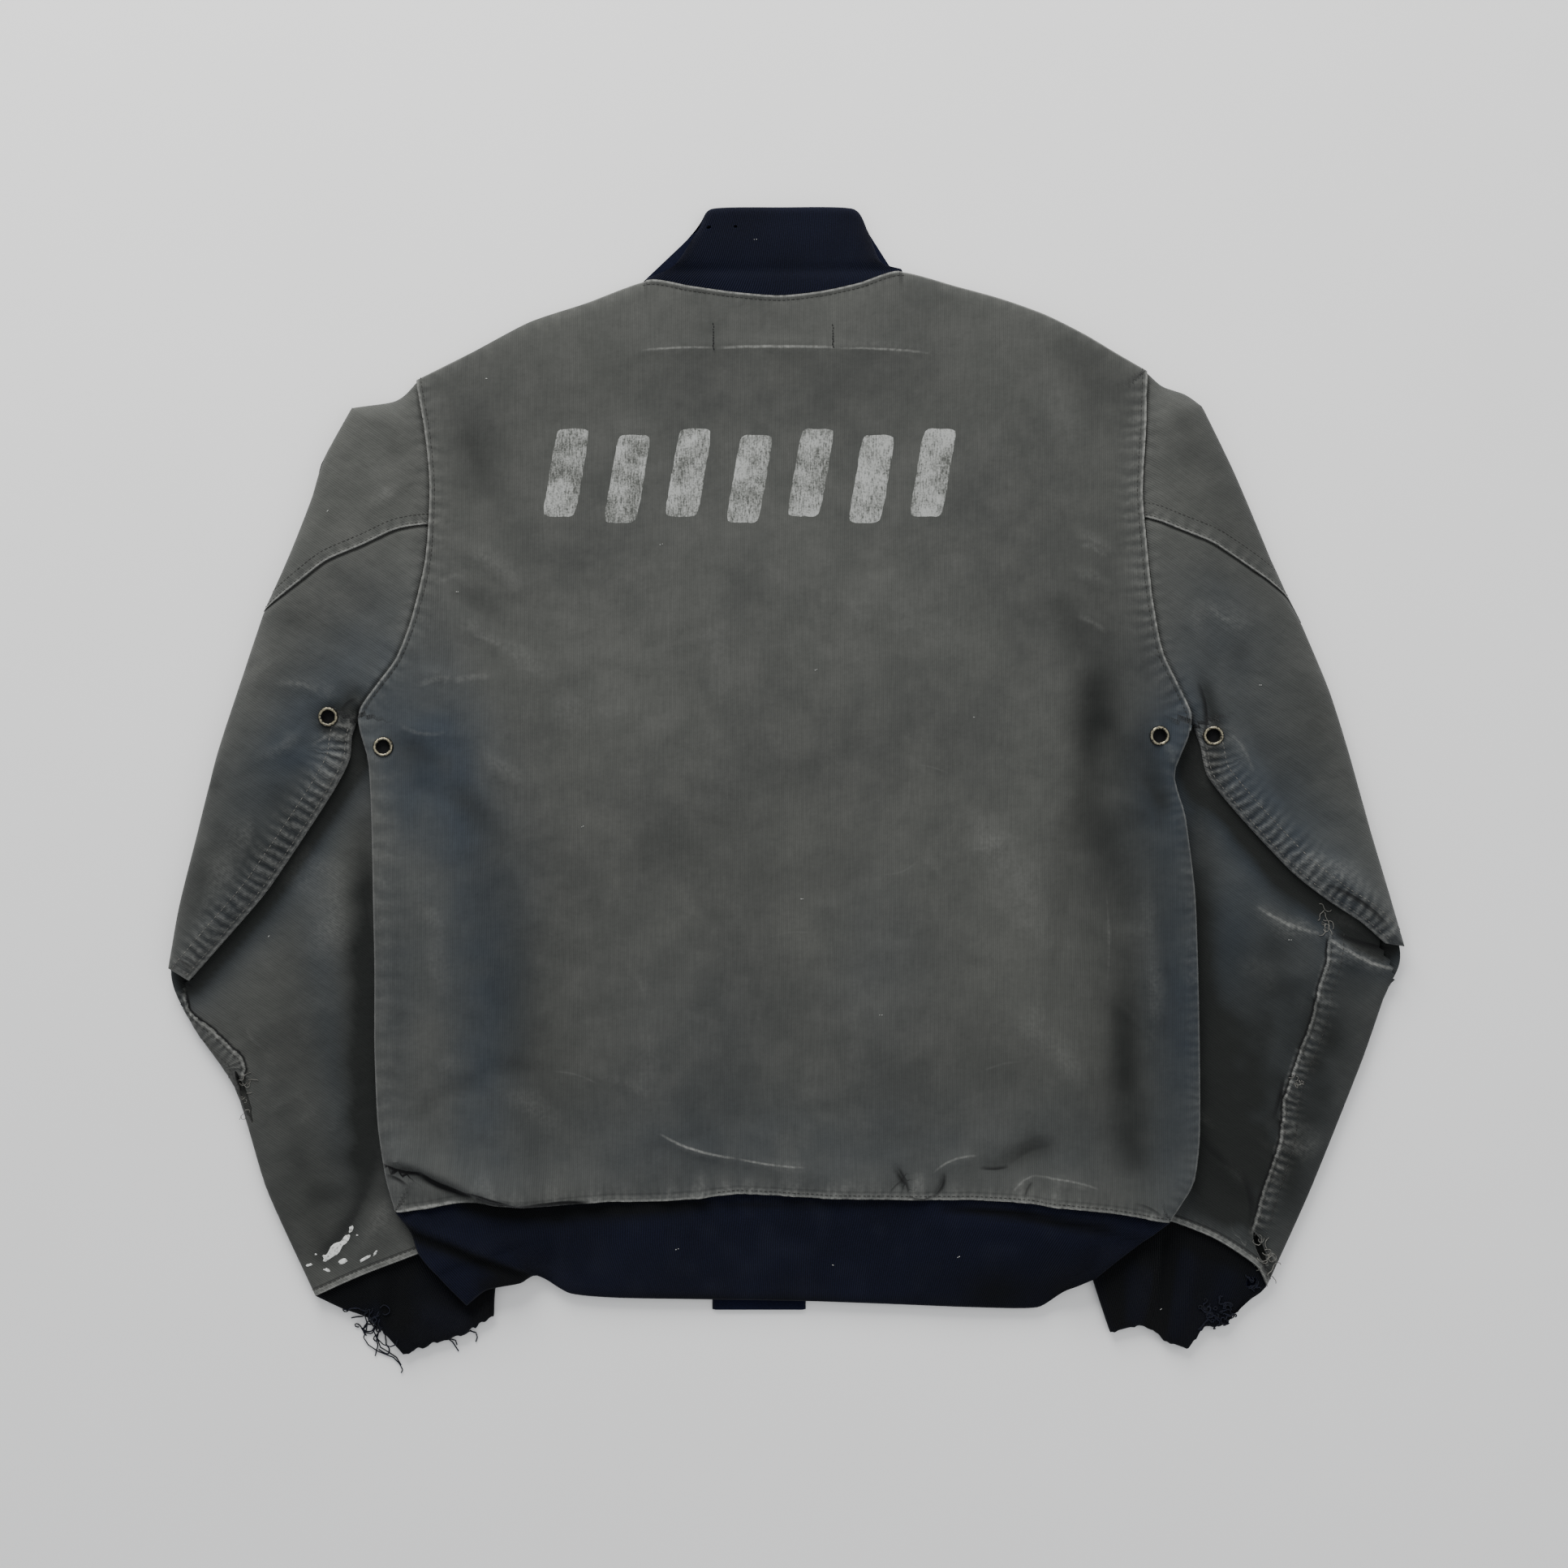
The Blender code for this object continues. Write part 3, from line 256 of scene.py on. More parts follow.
# Pale rubbed lines and dark lines, by panel, where a height is how strong each is.
WEAR_LINES = {
    "back": rows(Crease,
        (-80, -226, -31, -241, -3, 0.55, 0.75), (-33, -241, 12, -247, -1, 0.5, 0.6),
        (-92, 273.5, -46, 275.5, 1, 0.5, 0.5), (-44, 275.5, 34, 275.5, 1, 0.6, 0.8),
        (34, 275, 92, 272, 1, 0.5, 0.45), (203, -70, 204, -128, 1, 0.4, 0.12),
        (-250, -274.5, -205, -266.5, 1, 0.8, 1.0), (95, -250, 122, -239.5, 3, 0.5, 0.45),
        (145, -263, 160, -252, 2, 0.5, 0.3), (158, -252.5, 198, -259, 2, 0.5, 0.35),
        (186, 150, 204, 142, 2, 1.2, 0.14), (186, 104, 204, 94, 2, 1.2, 0.14),
        (-222, 126, -204, 130, 2, 1.4, 0.14), (-200, 92, -170, 76, 3, 0.9, 0.08),
        (-212, 62, -188, 66, 2, 1.6, 0.16), (-244, 34, -216, 30, -3, 0.9, 0.14),
        (-232, 60, -212, 64, 2, 1.4, 0.18), (84, 10, 104, 4, 1, 0.4, 0.1),
        (-10, -100, 20, -98, 2, 0.4, 0.08), (60, -60, 84, -52, -3, 0.4, 0.08),
        (-148, -186, -120, -194, 2, 0.5, 0.1), (126, -186, 148, -180, 1, 0.5, 0.1)),
    "arm": rows(Crease,
        (-322, 60, -296, 56, 3, 1.2, 0.12), (-300, 22, -284, 30, 1, 0.8, 0.2),
        (268, 112, 284, 100, -3, 1.2, 0.12), (280, 30, 296, 4, 3, 0.8, 0.12),
        (310, -48, 344, -74, 4, 0.9, 0.2)),
    "forearm": rows(Crease,
        (300, -80, 342, -98, -3, 0.8, 0.45), (347, -101, 390, -121, -3, 0.8, 0.6),
        (-344, -158, -332, -172, -2, 0.9, 0.1), (308, -300, 314, -309, 1, 0.8, 0.5)),
}
SHADE_LINES = {
    "back": rows(Crease,
        (-206, 226, -190, 176, 0, 12, 0.22), (-246, -60, -246, -200, 0, 6, 0.15),
        (72, -249, 78, -263, -1, 1.6, 0.6), (100, -253, 95, -265, 2, 1.6, 0.6),
        (132, -246, 168, -233, -3, 9, 0.16), (157, -257, 152, -266, 0, 1.4, 0.4),
        (190, 90, 178, 118, 3, 10, 0.3), (-176, -40, -150, -230, -14, 26, 0.2)),
    "arm": rows(Crease,
        (-266, 56, -276, 20, -4, 8, 0.6), (-296, 30, -286, 46, 0, 8, 0.4), (264, 62, 268, 10, 4, 6, 0.7),
        (344, -68, 382, -92, 3, 4, 0.6), (284, 86, 290, 76, 0, 7, 0.3), (-300, 8, -352, -76, 6, 14, 0.3)),
    "forearm": rows(Crease,
        (-267, -30, -268, -270, 0, 10, 0.6), (262, -20, 266, -240, 0, 12, 0.6),
        (261, -232, 297, -278, -5, 7, 0.6), (352, -97, 390, -107, -3, 3, 0.9),
        (-347, -186, -352, -206, 1, 3, 0.7), (298, -286, 312, -322, 1, 3, 0.7)),
}

# Painted shadow in the slits under folds, by panel: crisp on the left of the way they run, soft on the
# right.
SLIT_SHADOW_LINES = {
    "back": rows(Crease,
        (-256.5, -242.5, -228, -248, -1.5, 1.0, 1.7), (-232, -247, -196, -263, -1.5, 1.7, 1.8),
        (-204, -260, -166, -271.5, 1.5, 2.4, 1.8), (-176, -270, -124, -268.5, 1.2, 2.0, 1.4),
        (-253, -250, -238, -256, 2, 1.2, 0.9), (78, -265, 71, -247, -1.5, 0.9, 0.8),
        (66, -264, 76, -255, 1.5, 0.7, 0.5), (95, -265, 101, -252, -2, 0.9, 0.8),
        (78, -264, 95, -264.5, -3, 0.8, 0.7), (143, -247.5, 124, -248, 1, 1.0, 0.8),
        (170, -233, 142, -247, -2, 1.8, 0.2), (152, -267, 157, -256, 1, 0.7, 0.45),
        (222, -268, 240, -278, 2, 1.0, 0.5)),
    "arm": rows(Crease,
        (-262, 52, -270, 28, -3, 1.6, 0.9), (-282, 44, -272, 52, 2, 1.2, 0.7),
        (262, 62, 266, 26, 3, 1.4, 0.9), (-388, -112, -374, -122, 2, 1.0, 0.6),
        (344, -66, 382, -92, 3, 1.4, 0.8)),
    "forearm": rows(Crease,
        (352, -97, 391, -107, -2, 1.8, 1.0), (-348, -186, -352, -206, 1, 2.0, 0.8),
        (291, -250, 262, -226, 3, 3.4, 0.6), (296, -284, 289, -250, -3, 2.4, 0.6),
        (318, -189, 312, -216, 1, 1.4, 0.9), (-388, -128, -378, -132, 1, 1.0, 0.7),
        (300, -288, 309, -320, 0, 1.8, 0.9), (-264, -256, -300, -309, 4, 3.4, 0.35)),
}

# Where the cloth kept its blue, and, by panel, where it lies in shade.
BLUE_SPOTS = rows(Spot,
    (-302, 28, 70, 26, 55, 0.8), (-232, 16, 60, 34, 110, 0.6), (-206, -60, 120, 24, 94, 0.5),
    (-186, -150, 90, 20, 84, 0.6), (-246, -110, 130, 16, 90, 0.3), (243, 10, 55, 26, 75, 0.75),
    (296, -10, 80, 34, 125, 0.7), (284, 90, 50, 26, 125, 0.3), (246, -120, 130, 20, 90, 0.75),
    (-290, -160, 110, 14, 96, 0.4), (310, -200, 120, 40, 72, 0.75), (280, -110, 70, 24, 80, 0.7),
    (-340, -70, 60, 16, 52, 0.6), (356, -90, 40, 20, 130, 0.6), (0, -235, 240, 34, 0, 0.3),
    (-60, -170, 60, 50, 0, 0.12), (60, -120, 30, 60, 0, 0.15))
SHADE_SPOTS = {
    "back": rows(Spot,
        (-198, 222, 26, 14, 120, 0.14), (-150, 246, 60, 30, 20, 0.1), (200, 258, 30, 16, 140, 0.25),
        (0, -200, 260, 70, 0, 0.18), (-240, 12, 14, 12, 0, 0.3), (-225, -60, 130, 40, 90, 0.16),
        (243, -96, 150, 26, 90, 0.42), (207, 26, 90, 25, 90, 0.52), (210, -170, 90, 27, 96, 0.3),
        (200, -60, 60, 30, 90, 0.2), (0, 256, 130, 30, 0, 0.22), (0, -30, 130, 70, 0, 0.14),
        (-190, 180, 100, 50, 90, 0.1), (180, 180, 100, 60, 90, 0.12), (-160, -130, 90, 26, 100, 0.14)),
    "arm": rows(Spot,
        (-280, 44, 22, 16, 60, 0.4), (270, 4, 40, 8, 80, 0.6), (-354, -64, 80, 44, 62, 0.5),
        (-310, 40, 70, 50, 70, 0.06), (320, 30, 140, 70, 110, 0.27), (300, 190, 60, 50, 0, 0.16),
        (-270, 190, 60, 50, 0, 0.06)),
    "forearm": rows(Spot,
        (261, 16, 12, 26, 0, 1.0), (-272, 20, 10, 18, 0, 0.8), (-300, -240, 120, 60, 70, 0.42),
        (-320, -150, 50, 40, 0, 0.18), (310, -150, 110, 60, 80, 0.56), (284, -250, 60, 40, 80, 0.75),
        (-268, -140, 150, 13, 93, 0.35), (262, -140, 150, 18, 90, 0.4), (338, -220, 120, 24, 74, 0.34),
        (296, -176, 60, 28, 80, 0.3), (-292, -272, 36, 30, 0, 0.4), (352, -150, 40, 24, 60, 0.25)),
}

# The largest folds, as the solids have them.
FOLDS = rows(Crease,
    (-250, -248, -196, -259, 0, 15, 5.0), (-196, -259, -112, -262, 0, 13, 4.0),
    (186, -10, 184, -250, 0, 16, -2.4), (-77, -228, 9, -246, 0, 9, 1.6), (95, -250, 120, -238, 0, 8, 1.6),
    (136, -246, 171, -230, 0, 9, -1.8), (-20, -252, 80, -256, 0, 10, 1.4),
    (190, -262, 236, -268, 0, 9, 1.8), (-90, 275, 90, 275, 0, 8, 0.9), (-266, 60, -236, 0, 0, 12, -2.0),
    (-250, -30, -248, -190, 0, 9, 1.5), (250, -40, 251, -210, 0, 9, 1.5), (258, 60, 226, 10, 0, 12, -1.8),
    (-300, 150, -345, 0, 0, 16, 1.8), (-262, 110, -330, -40, 0, 14, -2.0),
    (-282, 30, -372, -104, 0, 10, 1.8), (296, 130, 340, 0, 0, 16, 1.8), (262, 100, 330, -30, 0, 14, -2.0),
    (280, 14, 368, -80, 0, 10, 1.6), (-236, 240, -236, 60, 0, 8, 1.2), (236, 240, 240, 70, 0, 8, 1.2))
EYELETS = rows(Eyelet,
    ("eyelet_body_left", "back_panel", -255, 21), ("eyelet_sleeve_left", "left_sleeve_lower", -290, 40),
    ("eyelet_body_right", "back_panel", 237, 28), ("eyelet_sleeve_right", "right_sleeve_lower", 271, 28))
EYELET_RADIUS = 6.4
EYELET_HOLE = 4.0
EYELET_HEIGHT = 1.6

# Rips right through a wall, as the solids have them, and small worn holes in the collar.
RIPS = {
    "left_forearm_front": rows(Rip, (-345.5, -203, 34, 5.5, -73)),
    "right_forearm_front": rows(Rip, (303, -299, 22, 5.0, -68)),
    "right_cuff_top": rows(Rip, (298, -321, 7.0, 6.0, 30)),
    "collar_back_knit": rows(Rip, (-49, 353, 3.2, 2.2, 20), (-32, 353.5, 2.6, 1.9, -10)),
}

# Splashes of white paint on the left sleeve, and lint on the cloth.
SPLASHES = rows(Rip,
    (-287.5, -300, 17, 6.5, 42), (-281.5, -293.5, 9, 3.2, 52), (-293, -304.5, 6, 3.0, 15),
    (-277.8, -287, 4.4, 2.4, 65), (-282.3, -307.2, 6.5, 2.4, 20), (-268, -305.4, 8, 2.2, 27),
    (-261.4, -301.5, 4.4, 1.6, 55), (-304.4, -309.8, 4.4, 1.5, 20), (-292.6, -313, 4.6, 2.2, -20),
    (-273.5, -290.5, 1.6, 1.0, 0), (-300, -303, 1.5, 1.0, 0))
LINT = [
    (-191, 256), (19, 70), (321, -102), (240, -339), (10, -76), (-80, 150), (120, 40), (-130, -30),
    (60, -150), (-290, 170), (300, 60), (-70, -300), (30, -310), (110, -305), (-20, 345), (-330, -100),
    (-210, 120)]

# The painted row across the back: plain leaning blocks, each with its middle and its size.
BLOCK_MIDDLES = [-140, -101, -62, -23, 16, 55, 94]
BLOCK_Y, BLOCK_WIDE, BLOCK_HIGH, BLOCK_LEAN = 194.0, 21.0, 56.0, 9.0

# Where the knit of the waistband laps over itself at its left end.
LAP_LINE = [(-246, -279), (-232, -287), (-213, -294), (-198, -300.5), (-182, -307), (-160, -315)]

# Frayed yarns that hang below the left cuff.
FRAYED_YARNS = [
    [(-268, -338), (-269, -343), (-268, -348), (-269, -353), (-271, -358), (-268, -363), (-262, -367),
     (-257, -369), (-252, -371), (-248, -375), (-246, -379), (-247, -381)],
    [(-262, -346), (-264, -352), (-262, -358), (-258, -362), (-253, -363), (-249, -361), (-248, -358)],
    [(-258, -350), (-262, -356), (-260, -364), (-254, -368), (-250, -371), (-247, -376)],
    [(-217, -359), (-214, -361), (-212, -364), (-210, -367)], [(-216, -359), (-212, -360), (-211, -363)],
    [(-203, -354), (-199, -355), (-198, -358), (-199, -361)], [(-206, -355), (-202, -353), (-200, -355)],
]


def run_of(line):
    """How far along a line each of its points is."""
    return np.concatenate([[0], np.cumsum(np.linalg.norm(np.diff(line, axis=0), axis=1))])


def length_of(line):
    return np.linalg.norm(np.diff(line, axis=0), axis=1).sum()


def smooth(points, values):
    """Points on a smooth curve through a table's rows, at the given row numbers."""
    p = np.asarray(points, float)
    p = np.vstack([2 * p[0] - p[1], p, 2 * p[-1] - p[-2]])
    out = []
    for v in values:
        i = min(int(v), len(points) - 2)
        f = v - i
        a, b, c, d = p[i:i + 4]
        tight = 0.35
        m1, m2 = tight * (c - a), tight * (d - b)
        out.append((2 * f ** 3 - 3 * f ** 2 + 1) * b + (f ** 3 - 2 * f ** 2 + f) * m1
                   + (3 * f ** 2 - 2 * f ** 3) * c + (f ** 3 - f ** 2) * m2)
    return np.array(out)


def along(points, shares):
    """Points on a table's smooth curve, at shares of its length."""
    dense_at = np.linspace(0, len(points) - 1, 40 * (len(points) - 1) + 1)
    dense = smooth(points, dense_at)
    run = run_of(dense)
    want = np.asarray(shares) * run[-1]
    return np.stack([np.interp(want, run, dense[:, k]) for k in range(2)], 1)


def patch(left, right, top, bottom):
    """Fills four edge curves. Rows run from the top to the bottom, columns left to right."""
    def mean_shares(one, two):
        steps = [np.linalg.norm(np.diff(edge, axis=0), axis=1) for edge in (one, two)]
        return np.concatenate([[0], np.cumsum(steps[0] + steps[1])]) / (steps[0].sum() + steps[1].sum())

    t = mean_shares(left, right)[:, None, None]
    s = mean_shares(top, bottom)[None, :, None]
    plan = ((1 - s) * left[:, None] + s * right[:, None] + (1 - t) * top[None] + t * bottom[None]
            - (1 - s) * (1 - t) * left[0] - s * (1 - t) * right[0]
            - (1 - s) * t * left[-1] - s * t * right[-1])
    return plan


def shares(length, cell=CELL, near_start=True, near_end=True, fine=FINE_EDGE):
    """Shares of a length that lie close together next to a rolled edge."""
    first = fine[-1] if near_start else 0.0
    last = length - (fine[-1] if near_end else 0.0)
    middle = list(np.linspace(first, last, max(2, int(round((last - first) / cell)) + 1)))
    start = list(fine[:-1]) if near_start else []
    end = [length - f for f in fine[:-1]][::-1] if near_end else []
    return np.array(start + middle + end) / length


def spread(dense, dense_at, cell, near_start, near_end):
    """Row numbers of a table whose sections lie a cell apart along a curve through it."""
    run = run_of(dense)
    return np.interp(shares(run[-1], cell, near_start, near_end) * run[-1], run, dense_at)


def near(plan, line):
    """Distance in plan to a line of points, and how far along it the nearest point is."""
    p = plan.reshape(-1, 1, 2)
    a, ab = line[None, :-1], np.diff(line, axis=0)[None]
    f = np.clip(((p - a) * ab).sum(2) / np.maximum((ab ** 2).sum(2), 1e-9), 0, 1)
    d = np.linalg.norm(p - a - f[..., None] * ab, axis=2)
    pick = d.argmin(1)
    lengths = np.linalg.norm(ab[0], axis=1)
    run = np.concatenate([[0], np.cumsum(lengths)])
    rows = np.arange(len(pick))
    s = run[pick] + f[rows, pick] * lengths[pick]
    return d[rows, pick].reshape(plan.shape[:-1]), s.reshape(plan.shape[:-1])


def distance(plan, line):
    return near(plan, line)[0]


def nearest_of(plan, *lines):
    """Distance in plan to the nearest of some lines."""
    return np.minimum.reduce([distance(plan, line) for line in lines])


def inside(plan, ring):
    x, y = plan[..., 0].ravel(), plan[..., 1].ravel()
    hit = np.zeros(len(x), bool)
    for (x1, y1), (x2, y2) in zip(ring, np.roll(ring, -1, axis=0)):
        if y1 != y2:
            hit ^= ((y1 > y) != (y2 > y)) & (x < x1 + (y - y1) * (x2 - x1) / (y2 - y1))
    return hit.reshape(plan.shape[:2])


def rolled(d, radius):
    """Share of full height at a distance from a rounded edge."""
    return np.sqrt(np.clip(1 - (1 - np.clip(d / radius, 0, 1)) ** 2, 0, 1))


def uneven(plan, size, seed, stretch=(1.0, 1.0)):
    """Smooth random heights from -1 to 1 whose lumps are about a size across."""
    table = np.random.default_rng(seed).uniform(-1, 1, (64, 64))
    u = plan[..., 0] / (size * stretch[0]) + 300
    v = plan[..., 1] / (size * stretch[1]) + 300
    i, j = np.floor(u).astype(int), np.floor(v).astype(int)
    f, g = u - i, v - j
    f, g = f * f * (3 - 2 * f), g * g * (3 - 2 * g)
    a, b = table[i % 64, j % 64], table[(i + 1) % 64, j % 64]
    c, d = table[i % 64, (j + 1) % 64], table[(i + 1) % 64, (j + 1) % 64]
    return (a * (1 - f) + b * f) * (1 - g) + (c * (1 - f) + d * f) * g


def bent(row):
    """Points of a crease, which bends sideways by its bow."""
    a, b = np.array([row.x1, row.y1], float), np.array([row.x2, row.y2], float)
    across = np.array([a[1] - b[1], b[0] - a[0]]) / np.linalg.norm(b - a)
    t = np.linspace(0, 1, 9)[:, None]
    return a + t * (b - a) + 4 * t * (1 - t) * row.bow * across


def creases(plan, table, seed=5):
    """Height of soft folds: each bends by its bow, tapers at its ends and is uneven along its length."""
    total = np.zeros(plan.shape[:2])
    for k, row in enumerate(table):
        line = bent(row)
        reach = 3.2 * row.width
        box = ((plan[..., 0] > line[:, 0].min() - reach) & (plan[..., 0] < line[:, 0].max() + reach)
               & (plan[..., 1] > line[:, 1].min() - reach) & (plan[..., 1] < line[:, 1].max() + reach))
        if not box.any():
            continue
        spot = plan[box][:, None]
        d, s = near(spot, line)
        length = length_of(line)
        share = np.clip(s / length, 0, 1)
        taper = np.clip(4 * share * (1 - share), 0, 1) ** 0.5
        wide = row.width * (1 + 0.25 * uneven(spot, 40, seed + k))
        strong = 1 + 0.3 * uneven(spot, 26, seed + 50 + k)
        total[box] += (row.height * strong * (0.25 + 0.75 * taper) * np.exp(-(d / wide) ** 2))[:, 0]
    return total


def small_creases(seed, count, low, high, lean=0.0):
    """Short shallow folds of worn cloth, scattered over a box."""
    rng = np.random.default_rng(seed)
    rows = []
    for _ in range(count):
        x, y = rng.uniform(low[0], high[0]), rng.uniform(low[1], high[1])
        turn = lean + rng.normal(0, 0.6)
        half = rng.uniform(6, 22)
        rows.append(Crease(x - half * math.cos(turn), y - half * math.sin(turn),
                           x + half * math.cos(turn), y + half * math.sin(turn),
                           rng.uniform(-4, 4), rng.uniform(2.6, 5.5),
                           rng.choice([-1, 1]) * rng.uniform(0.25, 0.6)))
    return rows


def puckers(plan, line, pitch, height, reach, seed):
    """Short ridges across a seam, where its thread draws the cloth in."""
    rng = np.random.default_rng(seed)
    d, s = near(plan, line)
    length = length_of(line)
    total = np.zeros(plan.shape[:2])
    close = d < 3 * reach
    dc, sc = d[close], s[close]
    part = np.zeros(len(dc))
    for at in np.arange(0, length, pitch):
        middle = at + rng.uniform(-0.3, 0.3) * pitch
        tall = height * rng.uniform(0.25, 1.3)
        far = reach * rng.uniform(0.6, 1.4)
        lean = rng.uniform(-0.35, 0.35)
        part += tall * np.exp(-((sc - middle - lean * dc) / (0.27 * pitch)) ** 2 - (dc / far) ** 2)
    total[close] = part
    return total


def linear(code):
    """An sRGB hex colour as linear values."""
    out = []
    for k in (1, 3, 5):
        c = int(code[k:k + 2], 16) / 255
        out.append(c / 12.92 if c <= 0.04045 else ((c + 0.055) / 1.055) ** 2.4)
    return (*out, 1.0)


def node(tree, kind, links=(), **settings):
    """Adds a node with its settings. Links go to the first sockets in order, or to named ones, and
    each is another node, a socket or a plain value."""
    made = tree.nodes.new(kind)
    for key, value in settings.items():
        setattr(made, key, value)
    for socket, value in links.items() if isinstance(links, dict) else enumerate(links):
        if isinstance(value, bpy.types.Node):
            value = next(out for out in value.outputs if out.enabled)
        if isinstance(value, bpy.types.NodeSocket):
            tree.links.new(value, made.inputs[socket])
        else:
            made.inputs[socket].default_value = value
    return made


def new_material(name, roughness, metallic=0.0, specular=0.5, sheen=0.0):
    """A material, with what adds a node to it, what joins nodes to its shader, and its places."""
    made = bpy.data.materials.new(name)
    made.use_nodes = True
    tree = made.node_tree
    shader = tree.nodes["Principled BSDF"]
    for socket, value in (("Roughness", roughness), ("Metallic", metallic),
                          ("Specular IOR Level", specular), ("Sheen Weight", sheen)):
        shader.inputs[socket].default_value = value

    def join(**sockets):
        for socket, value in sockets.items():
            out = next(o for o in value.outputs if o.enabled)
            tree.links.new(out, shader.inputs[socket.replace("_", " ").title()])

    add = partial(node, tree)
    return made, add, join, add("ShaderNodeTexCoord").outputs["Object"]


MATH, MIX, RANGE, NOISE, BUMP, MARK = (
    f"ShaderNode{kind}" for kind in ("Math", "Mix", "MapRange", "TexNoise", "Bump", "Attribute"))


def cord_cotton():
    """Sun-bleached cord-woven cotton, once dark blue: matt, with fine cords along the grain,
    greyed to warm charcoal in the open and still blue where it was shaded."""
    made, add, join, spot = new_material("sun_bleached_cord_cotton", 0.92, specular=0.25, sheen=0.1)
    grain = add("ShaderNodeUVMap", uv_map="grain")
    wear, blue, shade, rub, rub_off, slit, slit_off, edge, edge_off, phase, ladder, gap, turned = (
        add(MARK, attribute_name=name).outputs["Fac"]
        for name in ("wear", "blue", "shade", "rub", "rub_off", "slit", "slit_off", "edge", "edge_off",
                     "phase", "ladder", "gap", "turned"))
    broad = add(NOISE, {"Vector": spot, "Scale": 9.0, "Detail": 2.0})
    patchy = add(NOISE, {"Vector": spot, "Scale": 38.0, "Detail": 5.0, "Roughness": 0.6})
    fine = add(NOISE, {"Vector": spot, "Scale": 420.0, "Detail": 3.0})
    cloth = add(MIX, {0: add(RANGE, (broad, 0.35, 0.65)), 6: linear("#40413e"), 7: linear("#494a46")},
                data_type="RGBA")
    washed = add(RANGE, (patchy, 0.4, 0.7, 0.0, 0.45))
    broken = add(RANGE, (fine, 0.35, 0.65, 0.35, 1.0))
    # A rubbed line is half a millimetre wide or so, and wanders as its crease does.
    wander = add(RANGE, {0: patchy, 3: -1.6, 4: 1.6})
    from_rub = add(MATH, [add(MATH, (rub_off, wander))], operation="ABSOLUTE")
    rub_line = add(RANGE, (from_rub, 0.2, 2.2, 1.0, 0.0), interpolation_type="SMOOTHSTEP")
    # Seam edges are a pale line 1 mm wide, frayed a little on the cloth's side.
    at_edge = add(MATH, (edge_off, add(RANGE, {0: fine, 3: -1.3, 4: 0.3})))
    edge_line = add(RANGE, (add(MATH, [at_edge], operation="ABSOLUTE"), 0.35, 1.15, 1.0, 0.0))
    # Puckers lie across a seam at its own pitch, pushed about and uneven in strength. Their valleys get
    # painted shade.
    turns = add(MATH, (phase, 2 * math.pi), operation="MULTIPLY")
    pushed = add(MATH, (turns, add(RANGE, (patchy, 0.3, 0.7, -2.4, 2.4))))
    wave = add(RANGE, (add(MATH, [pushed], operation="SINE"), -1.0, 1.0))
    strong = add(RANGE, (broad, 0.3, 0.7, 0.55, 1.1))
    pucker = add(MATH, (wave, add(MATH, (ladder, strong), operation="MULTIPLY")), operation="MULTIPLY")
    pucker_valley_shade = add(MATH, (ladder, pucker), operation="SUBTRACT")
    furrows = add(MATH, (pucker_valley_shade, 0.5), operation="MULTIPLY", use_clamp=True)
    # A turned hem is paler over its folded edge, up to a groove that gets painted shade.
    hem_fold = add(RANGE, (edge_off, 3.2, 4.2, 0.34, 0.0))
    from_groove = add(MATH, [add(MATH, (edge_off, 4.9), operation="SUBTRACT")], operation="ABSOLUTE")
    groove = add(RANGE, (from_groove, 0.2, 0.9, 0.6, 0.0))
    rubs = wear
    for line, strength in ((hem_fold, turned), (rub_line, rub), (edge_line, edge), (pucker, 0.42)):
        rubs = add(MATH, (line, strength, rubs), operation="MULTIPLY_ADD")
    rubs = add(MATH, (rubs, broken), operation="MULTIPLY", use_clamp=True)
    # Painted shadow: under a fold it is crisp on the side that hangs over it and fades on the other, and
    # behind a seam edge it falls in the gap.
    slit_shadow_at = add(MATH, (slit_off, add(RANGE, {0: patchy, 3: -0.5, 4: 0.5})))
    fading = add(RANGE, (slit_shadow_at, -2.6, -0.4), interpolation_type="SMOOTHSTEP")
    dark = add(MATH, (groove, turned), operation="MULTIPLY")
    for near_side, far_side, strength in (
            (add(RANGE, (slit_shadow_at, -0.1, 0.5, 1.0, 0.0)), fading, slit),
            (add(RANGE, (at_edge, -1.2, -0.7, 1.0, 0.0)), add(RANGE, (at_edge, -2.9, -1.7)), gap)):
        both = add(MATH, (near_side, far_side), operation="MULTIPLY")
        deep = add(MATH, (both, strength), operation="MULTIPLY")
        dark = add(MATH, (dark, deep), operation="MAXIMUM")
    # Washed patches and blue are the cloth's own; shade, pucker valleys and the near-black of slits, gaps
    # and grooves are painted shade.
    for share, code in ((washed, "#555551"), (blue, "#333a41"), (shade, "#181a18"), (furrows, "#1f2226"),
                        (rubs, "#8b8b86"), (dark, "#050506")):
        cloth = add(MIX, {0: share, 6: cloth, 7: linear(code)}, data_type="RGBA")
    # Cords stand 1.3 mm apart across the grain, drawn a little wider than the real 0.8 mm to show.
    cords = add("ShaderNodeTexWave", {"Vector": grain, "Scale": 0.314 / 0.0013, "Distortion": 0.6,
                                      "Detail": 1.0}).outputs["Fac"]
    along_grain = add("ShaderNodeMapping", {"Vector": grain, "Scale": (1.0, 0.08, 1.0)})
    slubs = add(NOISE, {"Vector": along_grain, "Scale": 700.0, "Detail": 2.0})
    tone = add(MATH, (add(RANGE, {0: cords, 3: 0.87, 4: 1.05}), add(RANGE, (slubs, 0.3, 0.7, -0.07, 0.07))))
    woven = add(MIX, {0: 1.0, 6: cloth, 7: tone}, data_type="RGBA", blend_type="MULTIPLY")
